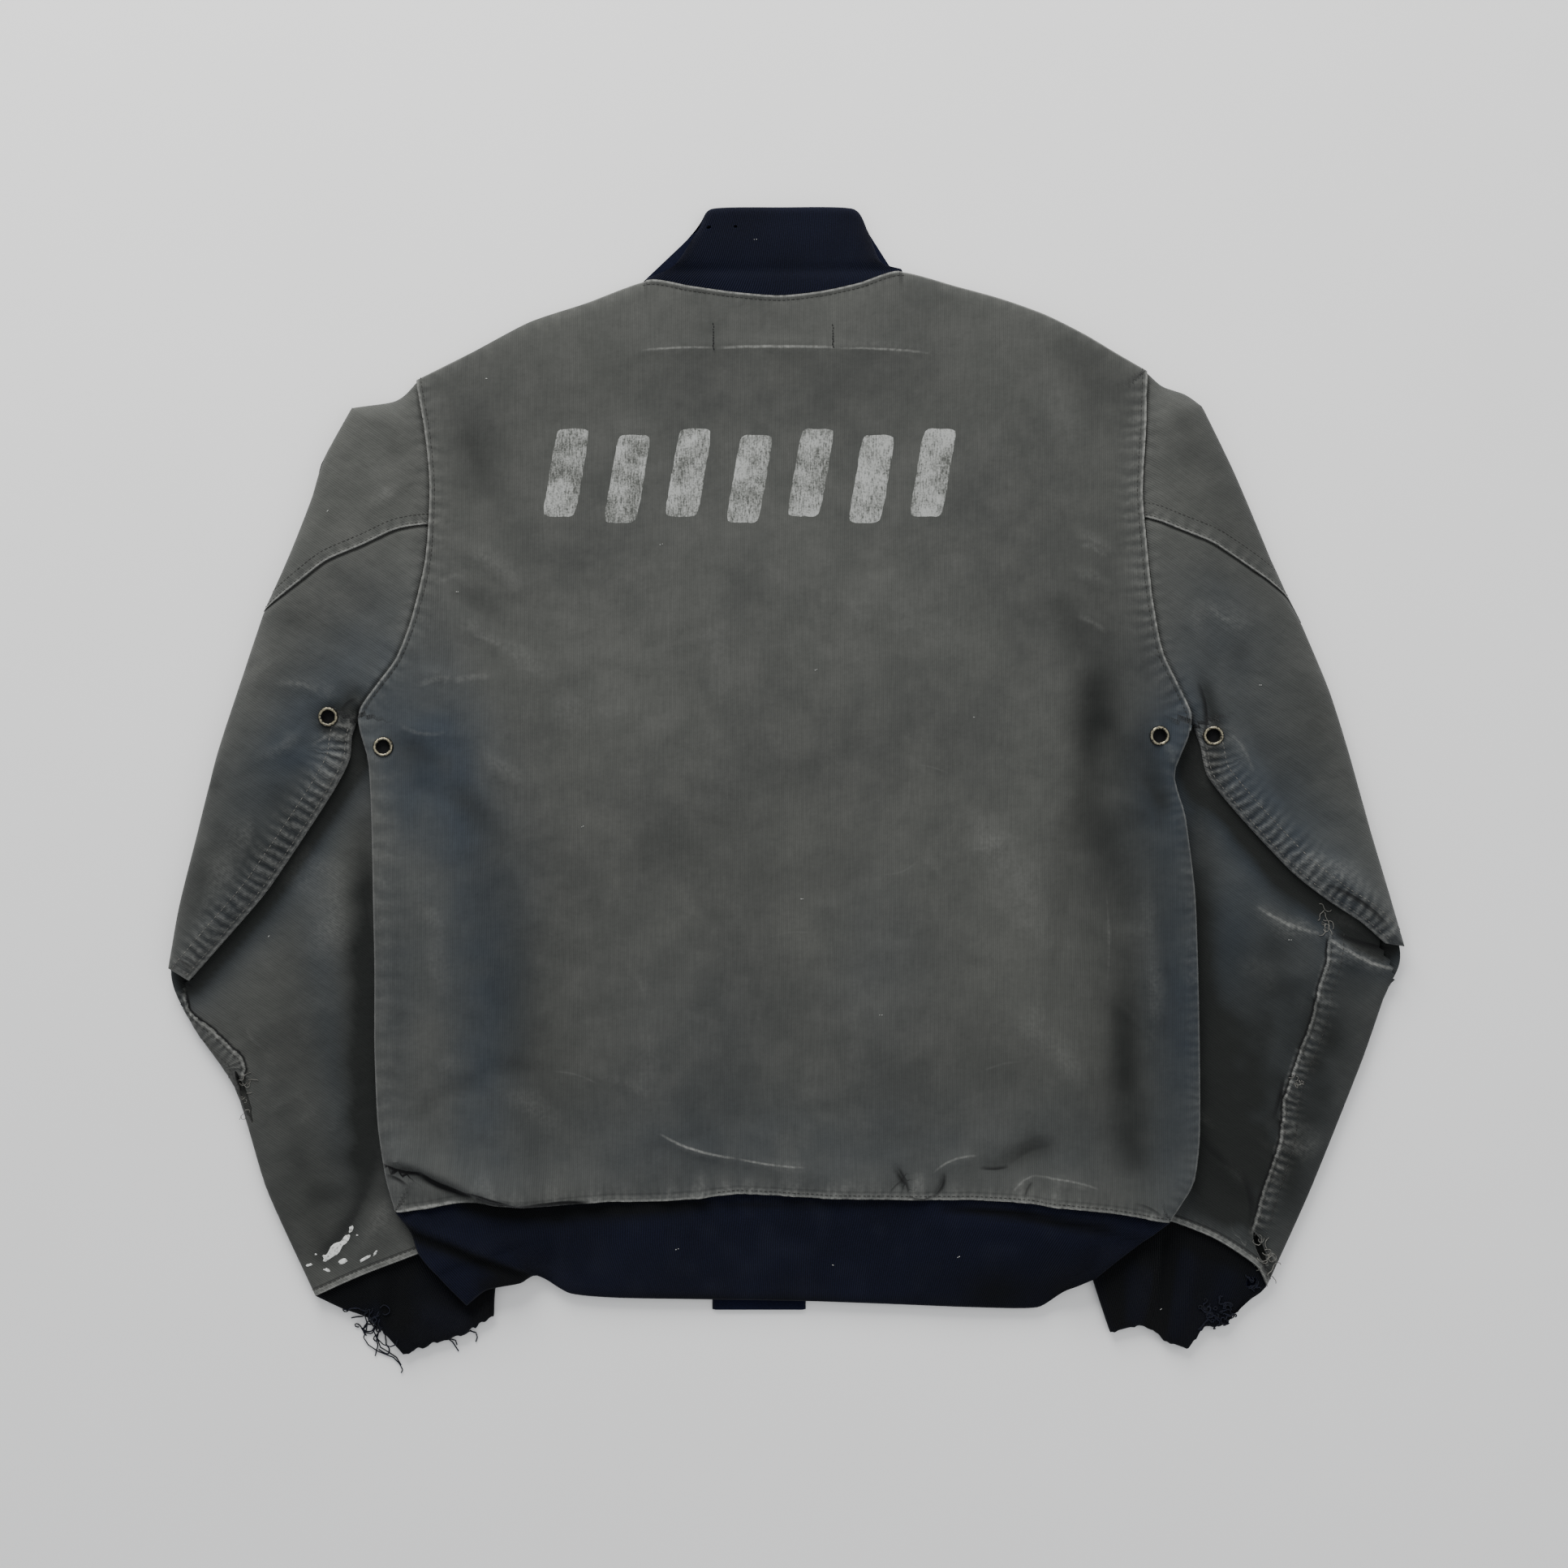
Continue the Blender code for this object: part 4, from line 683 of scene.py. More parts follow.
    # Over the puckers lie small dents of worn cloth, 8 to 25 mm across, and the weave.
    dents = add(NOISE, {"Vector": spot, "Scale": 60.0, "Detail": 3.0})
    bump = add(BUMP, {"Strength": 1.0, "Distance": 0.0011, "Height": pucker})
    for metres, height in ((0.004, dents), (0.0003, add(MATH, (cords, fine)))):
        bump = add(BUMP, {"Strength": 0.35, "Distance": metres, "Height": height, "Normal": bump})
    join(base_color=woven, normal=bump)
    return made


def rib_knit():
    """Worsted rib knit, navy close to black: soft, fuzzy yarn, with painted shade in its furrows."""
    made, add, join, spot = new_material("navy_rib_knit", 0.95, specular=0.15, sheen=0.04)
    wear, furrow, shade = (add(MARK, attribute_name=name).outputs["Fac"]
                           for name in ("wear", "furrow", "shade"))
    broad = add(NOISE, {"Vector": spot, "Scale": 22.0, "Detail": 3.0})
    fuzz = add(NOISE, {"Vector": spot, "Scale": 1500.0, "Detail": 3.0})
    knit = add(MIX, {0: add(RANGE, (broad, 0.35, 0.65)), 6: linear("#05081a"), 7: linear("#0a0e22")},
               data_type="RGBA")
    lit = add(RANGE, (fuzz, 0.45, 0.75, 0.0, 0.45))
    # Painted shade deepens the furrows between ribs.
    deep = add(MATH, (furrow, 0.65), operation="MULTIPLY")
    for share, code in ((lit, "#191e36"), (wear, "#4c4f5c"), (shade, "#040506"), (deep, "#04050a")):
        knit = add(MIX, {0: share, 6: knit, 7: linear(code)}, data_type="RGBA")
    join(base_color=knit, normal=add(BUMP, {"Strength": 0.5, "Distance": 0.0004, "Height": fuzz}))
    return made


def worn_brass():
    """Brass whose dark enamel has rubbed off on the crown of the ring: warm, half-dull metal."""
    made, add, join, spot = new_material("worn_enamelled_brass", 0.35)
    crown = add(MARK, attribute_name="wear").outputs["Fac"]
    spots = add(NOISE, {"Vector": spot, "Scale": 900.0, "Detail": 3.0})
    bare = add(RANGE, (add(MATH, (crown, add(RANGE, (spots, 0.3, 0.7, 0.0, 0.6)))), 1.05, 1.3))
    join(base_color=add(MIX, {0: bare, 6: linear("#1d1c18"), 7: linear("#98917a")}, data_type="RGBA"),
         metallic=add(RANGE, {0: bare, 3: 0.2, 4: 1.0}), roughness=add(RANGE, (spots, 0.3, 0.7, 0.25, 0.45)))
    return made


def brushed_paint():
    """Matt paint brushed on the cloth and worn through on its cords and by washing."""
    made, add, join, spot = new_material("worn_brushed_paint", 0.9, specular=0.3)
    grain = add("ShaderNodeUVMap", uv_map="grain")
    broad = add(NOISE, {"Vector": spot, "Scale": 55.0, "Detail": 4.0})
    fine = add(NOISE, {"Vector": spot, "Scale": 900.0, "Detail": 3.0})
    along_cords = add("ShaderNodeMapping", {"Vector": grain, "Scale": (1.0, 0.15, 1.0)})
    cords = add(NOISE, {"Vector": along_cords, "Scale": 1100.0, "Detail": 2.0})
    gone = add(RANGE, (add(MATH, (add(MATH, (fine, cords)), broad)), 1.32, 1.78))
    tone = add(RANGE, (broad, 0.35, 0.65))
    paint = linear("#a0a19d")
    for share, code in ((tone, "#8b8c87"), (gone, "#4a4b47")):
        paint = add(MIX, {0: share, 6: paint, 7: linear(code)}, data_type="RGBA")
    join(base_color=paint, normal=add(BUMP, {"Strength": 0.3, "Distance": 0.0003, "Height": cords}))
    return made


def two_toned(name, one, other, scale, detail, low=0.3, high=0.7, roughness=0.5, metallic=0.0,
              specular=0.5, fuzz=0.0):
    """A finish of two tones that fine spots mix, raised a little where it is fuzzy."""
    made, add, join, spot = new_material(name, roughness, metallic, specular)
    spots = add(NOISE, {"Vector": spot, "Scale": scale, "Detail": detail})
    share = add(RANGE, (spots, low, high))
    join(base_color=add(MIX, {0: share, 6: linear(one), 7: linear(other)}, data_type="RGBA"))
    if fuzz:
        join(normal=add(BUMP, {"Strength": 0.3, "Distance": fuzz, "Height": spots}))
    return made


COTTON, KNIT, BRASS, PAINT = cord_cotton(), rib_knit(), worn_brass(), brushed_paint()
# Stamped brass gone dull in patches.
TEETH = two_toned("dull_brass_teeth", "#8d7238", "#5d4d2d", 160.0, 4.0, metallic=1.0)
# White house paint dried to a thick skin, a little glossy.
SPLASH = two_toned("dried_white_paint", "#cfd0cb", "#7d7d78", 600.0, 3.0, 0.5, 0.68, roughness=0.55)
# Matt pale board.
BOARD = two_toned("pale_matt_board", "#f4f3f0", "#faf9f7", 6.0, 3.0, 0.0, 1.0, roughness=0.9)
# Twisted cotton and wool: matt, and paler where the fibres stand proud. The last, near black, is painted
# shadow for the eyelet holes.
THREAD, DARK_THREAD, BLACK_THREAD, LINT_FIBRE, NAVY_YARN, EYELET_SHADOW = (
    two_toned(name, dark, pale, 500.0, 2.0, roughness=0.85, specular=0.3, fuzz=0.0002)
    for name, dark, pale in (
        ("grey_cotton_thread", "#4b4a46", "#77756f"), ("dark_cotton_thread", "#252524", "#3a3936"),
        ("black_cotton_thread", "#0e0e0f", "#1c1c1c"), ("cotton_lint", "#8c8c88", "#b9b9b4"),
        ("navy_wool_yarn", "#05060c", "#0d1122"), ("shadowed_lining", "#060607", "#0c0c0d")))


def finish_piece(piece, nodes, smooth_over=60):
    """Rides a piece on the jacket's body, in place of the solids it stands for."""
    piece.data.shade_smooth()
    piece.data.set_sharp_from_angle(angle=math.radians(smooth_over))
    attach(piece, "root")
    if nodes:
        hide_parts(*nodes)
    return piece


def new_object(name, data):
    """Puts a mesh, lamp or camera in the scene."""
    made = bpy.data.objects.new(name, data)
    bpy.context.scene.collection.objects.link(made)
    return made


def plain_mesh(name, points, edges, faces):
    """A mesh from points in millimetres."""
    mesh = bpy.data.meshes.new(name)
    mesh.from_pydata((np.asarray(points, float) * MM).tolist(), edges, [list(f) for f in faces])
    return mesh


def mesh_piece(name, points, faces, material, marks=None, grain=0.0):
    """A piece from points in millimetres, with its marks and the direction of its grain."""
    points = np.asarray(points, float)
    mesh = plain_mesh(name, points, [], faces)
    for mark, values in (marks or {}).items():
        mesh.attributes.new(mark, "FLOAT", "POINT").data.foreach_set("value", np.asarray(values, "f"))
    corner = np.empty(len(mesh.loops), "i")
    mesh.loops.foreach_get("vertex_index", corner)
    c, s = math.cos(grain), math.sin(grain)
    u = points[corner, 0] * c + points[corner, 1] * s
    v = points[corner, 1] * c - points[corner, 0] * s
    mesh.uv_layers.new(name="grain").data.foreach_set("uv", (np.stack([u, v], 1) * MM).astype("f").ravel())
    mesh.materials.append(material)
    return new_object(name, mesh)


def touched(cells):
    """The points at the corners of some cells of a grid."""
    down, across = cells.shape
    used = np.zeros((down + 1, across + 1), bool)
    for i, j in ((0, 0), (1, 0), (0, 1), (1, 1)):
        used[i:down + i, j:across + j] |= cells
    return used


def all_cells(plan):
    return np.ones((plan.shape[0] - 1, plan.shape[1] - 1), bool)


def turned_over(plan):
    """Whether rows and columns run so that faces made along them would point down."""
    step, side = plan[1, 0] - plan[0, 0], plan[0, 1] - plan[0, 0]
    return step[0] * side[1] - step[1] * side[0] < 0


def shell(name, plan, low, high, material, cells=None, marks=None, grain=0.0):
    """A closed thin wall over the plan's cells, between its lower and upper heights."""
    cells = all_cells(plan) if cells is None else cells
    used = touched(cells)
    count = int(used.sum())
    number = np.zeros(used.shape, int)
    number[used] = np.arange(count)
    i, j = np.nonzero(cells)
    ring = np.stack([number[i, j], number[i + 1, j], number[i + 1, j + 1], number[i, j + 1]], 1)
    if turned_over(plan):
        ring = ring[:, ::-1]
    start, end = ring.ravel(), np.roll(ring, -1, axis=1).ravel()
    open_edge = ~np.isin(start * count + end, end * count + start)
    a, b = start[open_edge], end[open_edge]
    sides = np.stack([b, a, a + count, b + count], 1)
    faces = np.vstack([ring, ring[:, ::-1] + count, sides])
    points = np.vstack([np.column_stack([plan[used], height[used]]) for height in (high, low)])
    both = {mark: np.tile(values[used], 2) for mark, values in (marks or {}).items()}
    return mesh_piece(name, points, faces.tolist(), material, both, grain)


def rib_wave(columns):
    """Depth of the furrow at each column, from 0 on a rib's crown to 1 between two ribs."""
    return 0.5 - 0.5 * np.cos(2 * np.pi * np.arange(columns) / RIB_COLUMNS)[None, :]


def knit_shell(name, plan, low, high, marks=None):
    """A knitted wall: ribs are raised in its outer points, over a plain inside of wider cells."""
    count, cols = plan.shape[:2]
    wide = cols // RIB_COLUMNS + 1
    outer = np.arange(count * cols).reshape(count, cols)
    plain = count * cols + np.arange(count * wide).reshape(count, wide)
    points = np.vstack([np.column_stack([side.reshape(-1, 2), height.ravel()]) for side, height in (
        (plan, high), (plan[:, ::RIB_COLUMNS], low[:, ::RIB_COLUMNS]))])

    def quads(number):
        corners = [number[:-1, :-1], number[1:, :-1], number[1:, 1:], number[:-1, 1:]]
        return np.stack(corners, 2).reshape(-1, 4)

    faces = quads(outer).tolist() + quads(plain)[:, ::-1].tolist()
    for j, k, way in ((0, 0, 1), (cols - 1, wide - 1, -1)):
        faces += [[outer[i, j], plain[i, k], plain[i + 1, k], outer[i + 1, j]][::way]
                  for i in range(count - 1)]
    for i, way in ((0, 1), (count - 1, -1)):
        for k in range(wide - 1):
            tops = outer[i, k * RIB_COLUMNS:(k + 1) * RIB_COLUMNS + 1].tolist()
            faces.append((tops + [plain[i, k + 1], plain[i, k]])[::way])
    if turned_over(plan):
        faces = [face[::-1] for face in faces]
    marks = dict(marks or {}, furrow=np.broadcast_to(rib_wave(cols), plan.shape[:2]))
    both = {m: np.concatenate([v.ravel(), v[:, ::RIB_COLUMNS].ravel()]) for m, v in marks.items()}
    return mesh_piece(name, points, faces, KNIT, both)


def cloth_piece(name, stands_for, plan, low, high, material, held="laid", rests_on=(), **looks):
    """A shell of cloth or knit, finished."""
    piece = shell(name, plan, low, high, material, **looks)
    finish_piece(piece, [stands_for])
    return piece


def knit_piece(name, stands_for, plan, low, high, marks=None):
    """A wall of ribs, finished."""
    piece = knit_shell(name, plan, low, high, marks)
    finish_piece(piece, [stands_for])
    return piece


def make_plain(piece):
    """Turns a piece and its modifiers into a plain mesh."""
    made = bpy.data.meshes.new_from_object(piece.evaluated_get(bpy.context.evaluated_depsgraph_get()))
    piece.modifiers.clear()
    piece.data = made


def oval(spot, ragged):
    """Points of a turned oval whose radius is uneven by some shares."""
    around = np.linspace(0, 2 * np.pi, len(ragged), endpoint=False)
    u, v = 0.5 * spot.long * np.cos(around) * ragged, 0.5 * spot.wide * np.sin(around) * ragged
    c, s = math.cos(math.radians(spot.turn)), math.sin(math.radians(spot.turn))
    return np.stack([spot.x + u * c - v * s, spot.y + u * s + v * c], 1)


def prism(start, turns):
    """Faces between two rings of points, the lower one first."""
    ring = list(range(start, start + turns))
    return [ring[::-1], [k + turns for k in ring]] + [
        [k, m, m + turns, k + turns] for k, m in zip(ring, ring[1:] + ring[:1])]


def cut_holes(piece, holes, turns=22):
    """Cuts slightly ragged oval holes right through a wall."""
    rng = np.random.default_rng(len(holes) + 17)
    points, faces = [], []
    for hole in holes:
        ragged = np.ones(turns) + (0.12 * rng.uniform(-1, 1, turns) if hole.long != hole.wide else 0)
        faces += prism(len(points), turns)
        points += [(x, y, z) for z in (BELOW_ALL, ABOVE_ALL) for x, y in oval(hole, ragged)]
    punch = new_object("punch", plain_mesh("punch", points, [], faces))
    cut = piece.modifiers.new("cut", "BOOLEAN")
    cut.object, cut.operation, cut.solver = punch, "DIFFERENCE", "EXACT"
    make_plain(piece)
    bpy.data.objects.remove(punch)


def stretch(first, last, near_start=False, near_end=False):
    """Row numbers of the body table between two of its rows, a cell apart."""
    dense_at = np.linspace(first, last, 200)
    dense = smooth([(r.left_x, r.left_y) for r in BODY], dense_at)
    return spread(dense, dense_at, CELL, near_start, near_end)


# One plan serves the back and the fronts under it. The sleeves meet its sides at the armholes.
BODY_WIDTH = 520.0
SEAM_AT, ARMPIT_AT = 2.5, 6.0
upper_rows = stretch(0, SEAM_AT, near_start=True, near_end=True)
middle_rows = stretch(SEAM_AT, ARMPIT_AT, near_start=True)
down = np.concatenate([upper_rows, middle_rows[1:], stretch(ARMPIT_AT, len(BODY) - 1, near_end=True)[1:]])
SEAM_ROW = len(upper_rows) - 1
ARMPIT_ROW = SEAM_ROW + len(middle_rows) - 1
body_across = shares(BODY_WIDTH)
body = patch(smooth([(r.left_x, r.left_y) for r in BODY], down),
             smooth([(r.right_x, r.right_y) for r in BODY], down),
             along(SHOULDER, body_across), along(HEM, body_across))


def armhole(side, first, last):
    """Points of the back's edge between two of its rows."""
    return body[first:last + 1, 0 if side == "left" else -1]


def run_shares(line):
    run = run_of(line)
    return run / run[-1]


def at_shares(line, wanted):
    """Points of a line at some shares of its length."""
    run = run_shares(line)
    return np.stack([np.interp(wanted, run, line[:, k]) for k in range(2)], 1)


def cross_side(plan, line):
    """Positive on the left of a line as it runs, negative on its right."""
    mids = 0.5 * (line[1:] + line[:-1])
    away = np.linalg.norm(plan.reshape(-1, 1, 2) - mids[None], axis=2)
    pick = away.argmin(1)
    step = (line[1:] - line[:-1])[pick]
    to = plan.reshape(-1, 2) - line[:-1][pick]
    return (step[:, 0] * to[:, 1] - step[:, 1] * to[:, 0]).reshape(plan.shape[:-1])


def overhang(plan):
    """The cloth that bags over the waistband on the left: its height, and the painted shadow below it, where
    it hangs over the band.
    """
    line = along(BAG_LINE, np.linspace(0, 1, 60))
    d, s = near(plan, line)
    length = length_of(line)
    share = s / length
    strong = np.clip(share / 0.06, 0, 1) * np.clip((1 - share) / 0.25, 0, 1)
    signed = np.where(cross_side(plan, line) > 0, d, -d)
    bulge = BAG_HEIGHT * np.exp(-(signed / 15) ** 2) / (1 + np.exp(-(signed - 0.8) / 0.5))
    dip = -2.0 * np.exp(-((signed + 3.0) / 3.0) ** 2)
    slit = np.exp(-((signed + 2.4) / 2.4) ** 2)
    return (bulge + dip) * strong, slit * np.clip(strong * 1.2, 0, 1)


# Sleeves folded under come first, because everything above lies on them.
forearm_plan, forearm_at, forearm_ring, cuff_plan, cuff_ring = {}, {}, {}, {}, {}
GAP_BELOW = np.array([0.0, -2 * SEAM])
for side, table in FOREARM.items():
    folds = [(r.fold_x, r.fold_y) for r in table]
    dense_at = np.linspace(0, len(table) - 1, 20 * (len(table) - 1) + 1)
    at = spread(smooth(folds, dense_at), dense_at, CELL, False, True)
    outer = smooth(folds, at)
    inner = smooth([(r.inner_x, r.inner_y) for r in table], at)
    across = shares(130)
    start = outer[0] + across[:, None] * (inner[0] - outer[0])
    forearm_at[side] = at
    forearm_plan[side] = patch(outer, inner, start, along(SLEEVE_HEM[side], across))
    hem = forearm_plan[side][-1]
    forearm_ring[side] = np.vstack([outer[::4], hem[1:-1:2], inner[::-4]])
    cuff = CUFF[side]
    wide = np.linspace(0, 1, RIB_COLUMNS * int(round(CUFF_WIDTH / RIB_PITCH)) + 1)
    down = shares(75, KNIT_CELL, False, True)
    plan = patch(along(cuff["outer"], down) + GAP_BELOW, along(cuff["inner"], down) + GAP_BELOW,
                 at_shares(hem, wide) + GAP_BELOW, along(cuff["edge"], wide) + GAP_BELOW)
    ragged = 1.3 * uneven(plan[-1:], 3.1, 31) + 1.0 * uneven(plan[-1:], 8.3, 32)
    plan[..., 1] += ragged * np.linspace(0, 1, len(plan))[:, None] ** 6
    cuff_plan[side] = plan
    cuff_ring[side] = np.vstack([plan[::2, 0], plan[-1, ::8], plan[::-2, -1], plan[0, ::-8]])


def ground(plan):
    """Height on which the cloth above lies: the folded sleeves, or the floor."""
    height = np.zeros(plan.shape[:2])
    below = [(forearm_ring[s], SLEEVE_BASE + SEAM) for s in forearm_ring]
    below += [(cuff_ring[s], 2 * RIB_KNIT + 2 * SEAM) for s in cuff_ring]
    for ring, top in below:
        closed = np.vstack([ring, ring[:1]])
        away = np.where(inside(plan, ring), 0, distance(plan, closed))
        f = np.clip((DRAPE_END - away) / (DRAPE_END - DRAPE_START), 0, 1)
        height = np.maximum(height, top * f * f * (3 - 2 * f))
    return height


def line_marks(plan, rows):
    """How strong the nearest of some bent lines is, and how many widths away it is, with its side."""
    nearest, strong, off = np.full(plan.shape[:2], 99.0), np.zeros(plan.shape[:2]), np.zeros(plan.shape[:2])
    for row in rows:
        line = bent(row)
        d, s = near(plan, line)
        share = s / length_of(line)
        taper = np.clip(4 * share * (1 - share), 0, 1) ** 0.6 * np.exp(-(d / 6) ** 2)
        closer = d < nearest
        nearest = np.where(closer, d, nearest)
        strong = np.where(closer, row.height * taper, strong)
        off = np.where(closer, np.sign(cross_side(plan, line)) * np.minimum(d, 9) / row.width, off)
    return strong, off


def seam_marks(plan, sewn):
    """At the nearest seam: its pale edge, the puckers that its thread draws and painted shadow in the gap
    behind it.
    """
    nearest = np.full(plan.shape[:2], 99.0)
    marks = {name: np.zeros(plan.shape[:2])
             for name in ("edge", "edge_off", "phase", "ladder", "gap", "turned")}
    for seam in sewn:
        d, s = near(plan, seam.line)
        beside = seam.side * np.sign(cross_side(plan, seam.line))
        length = length_of(seam.line)
        ends = np.clip(np.minimum(s, length - s) / 6, 0, 1) if seam.gap else 1.0
        closer = d < nearest
        nearest = np.where(closer, d, nearest)
        values = {"edge": seam.edge * np.exp(-(d / 5) ** 2) * ends, "edge_off": beside * np.minimum(d, 20),
                  "phase": s / seam.pitch, "gap": seam.gap * np.exp(-(d / 5) ** 2) * ends,
                  "turned": seam.turned * np.exp(-(d / 9) ** 4) * (beside > 0),
                  "ladder": seam.ladder * np.exp(-(d / seam.reach) ** 2) * (beside > 0) * ends}
        for name, value in values.items():
            marks[name] = np.where(closer, value, marks[name])
    return marks


def cloth_marks(plan, panel, sewn, detail, seed):
    """Wear on crests and at seams, and where the cloth is still blue or lies in shade. Lines thinner
    than the grid are given by their side and distance, so that the finish can draw them crisp."""
    wear = 0.14 * np.clip(detail - 0.4, 0, 1.5)
    marks = {"wear": np.clip(wear, 0, 1)}
    marks["rub"], marks["rub_off"] = line_marks(plan, WEAR_LINES.get(panel, []))
    marks["slit"], marks["slit_off"] = line_marks(plan, SLIT_SHADOW_LINES.get(panel, []))
    marks.update(seam_marks(plan, sewn))
    for mark, spots, extra in (("blue", BLUE_SPOTS, []),
                               ("shade", SHADE_SPOTS.get(panel, []), SHADE_LINES.get(panel, []))):
        total = np.clip(creases(plan, extra), 0, 1)
        for spot in spots:
            turn = math.radians(spot.turn)
            dx, dy = plan[..., 0] - spot.x, plan[..., 1] - spot.y
            u = dx * math.cos(turn) + dy * math.sin(turn)
            v = dy * math.cos(turn) - dx * math.sin(turn)
            total = total + spot.strength * np.exp(-(u / spot.long) ** 2 - (v / spot.wide) ** 2)
        total = total * (1 + 0.25 * uneven(plan, 34, seed + 7) + 0.2 * uneven(plan, 12, seed + 8))
        marks[mark] = np.clip(total, 0, 1)
    marks["shade"] = np.clip(marks["shade"] + 0.18 * np.clip(-detail - 0.3, 0, 3), 0, 1)
    return marks


def lip(d, width, height):
    """A raised seam edge with the groove of its stitches behind it."""
    raised, groove = 1 / (1 + np.exp((d - width) / 0.35)), np.exp(-((d - width - 0.5) / 0.8) ** 2)
    return height * (raised - 0.5 * groove)


panels, knits, seams = {}, {}, {}
for side, outward in (("left", -1), ("right", 1)):
    # Forearm: a base wall that wraps the fold, and a front layer over it.
    plan, at = forearm_plan[side], forearm_at[side]
    top_cells = all_cells(plan)
    for row, value in enumerate(at[:-1]):
        hidden_columns = int(round((len(FINE_EDGE) - 1) * np.clip((WRAP_END - value) / NARROWS_OVER, 0, 1)))
        top_cells[row, :hidden_columns] = False
    from_outer, from_hem = distance(plan, plan[::3, 0]), distance(plan, plan[-1])
    from_inner = nearest_of(plan, plan[::3, -1], plan[0])
    fold_end = np.interp(at, [WRAP_START, WRAP_END], [1.0, 0.0])[:, None]
    middle = SLEEVE_BASE * (0.5 + 0.5 * fold_end)
    radius = FREE_ROLL + (FOLD_ROLL - FREE_ROLL) * fold_end
    low = np.maximum((middle - EDGE) * (1 - rolled(from_outer, radius)),
                     (CLOTH - EDGE) * (1 - rolled(from_inner, FREE_ROLL)))
    high = np.where(touched(top_cells), CLOTH - SEAM / 2, np.maximum(middle, low + EDGE))
    seam = np.array(FOREARM_SEAM[side], float)
    detail = creases(plan, FOREARM_CREASES) + lip(from_hem, 4.6, 0.9)
    detail += creases(plan, small_creases(104, 30, (-370, -310), (-200, -60), 1.1), 10)
    detail += creases(plan, small_creases(105, 30, (200, -300), (380, -60), -1.1), 12)
    beside, d_seam = outward * cross_side(plan, seam) > 0, distance(plan, seam)
    detail += np.where(beside, lip(d_seam, 1.6, 1.2), -1.4 * np.exp(-(d_seam / 1.8) ** 2))
    detail += np.where(beside, puckers(plan, seam, 6.6, 1.3, 9, 80 + len(side)), 0)
    detail += 0.6 * uneven(plan, 30, 13) + 0.3 * uneven(plan, 11, 14)
    sewn = [Sewn(seam, outward, 5.4, 8, 0.8, 0.42, 1.0),
            Sewn(plan[-1, ::2], -outward, 5.2, 5.5, 0.15, 0.45, 0.0, 1.0)]
    marks = cloth_marks(plan, "forearm", sewn, detail, 21)
    d_under = distance(plan, along(ARM_UNDER[side], np.linspace(0, 1, 40)))
    for mark, strong, wide in (("shade", 1.5, 9), ("shade", 0.3, 20), ("blue", 0.7, 18)):
        marks[mark] = np.clip(marks[mark] + strong * np.exp(-(d_under / wide) ** 2), 0, 1)
    base = cloth_piece(f"{side}_forearm_base", f"sleeve_{side}_base", plan, low, high, COTTON, "folded",
                       marks=marks, grain=GRAIN)
    round_off = np.minimum(rolled(np.where(fold_end > 0, 99, from_outer), FREE_ROLL),
                           rolled(from_inner, HIDDEN_ROLL))
    round_off = np.minimum(np.minimum(round_off, 0.5 + rolled(from_hem, CLOTH)), 1.0)
    foot = CLOTH + SEAM / 2
    show = np.clip((at[:, None] - WRAP_START) / 0.6, 0, 1)
    high = foot + EDGE + (CLOTH - SEAM / 2 - EDGE) * round_off
    high = np.maximum(high + detail * show * rolled(from_outer, FREE_ROLL), foot + EDGE)
    panels[f"{side}_forearm_front"] = cloth_piece(
        f"{side}_forearm_front", f"sleeve_{side}_front", plan, np.full(plan.shape[:2], foot), high, COTTON,
        "folded", [base.name], cells=top_cells, marks=marks, grain=GRAIN)
    seams[f"{side}_forearm"], seams[f"{side}_sleeve_hem"] = seam, plan[-1]

    # Cuff: a plain layer below, and a ribbed one above.
    plan = cuff_plan[side]
    round_off = rolled(nearest_of(plan, plan[:, 0], plan[:, -1], plan[-1, ::RIB_COLUMNS]), CUFF_ROLL)
    low = (RIB_KNIT - EDGE) * (1 - round_off[:, ::RIB_COLUMNS])
    under = cloth_piece(f"{side}_cuff_under", f"cuff_{side}_under", plan[:, ::RIB_COLUMNS], low,
                        np.full(low.shape, RIB_KNIT), KNIT)
    folds = creases(plan, CUFF_CREASES)
    low = RIB_KNIT + SEAM
    high = low + EDGE + (RIB_KNIT - EDGE - RIB_HEIGHT * rib_wave(plan.shape[1])) * round_off
    shade = 0.8 + np.clip(creases(plan, CUFF_SHADE), 0, 1) - 0.3 * np.clip(folds, 0, 1)
    knits[f"{side}_cuff"] = knit_piece(
        f"{side}_cuff_top", f"cuff_{side}", plan, np.full(high.shape, low),
        np.maximum(high + folds * round_off, low + EDGE),
        {"shade": np.clip(shade, 0, 1), "wear": 0.05 * np.clip(uneven(plan, 9, 33), 0, 1)})

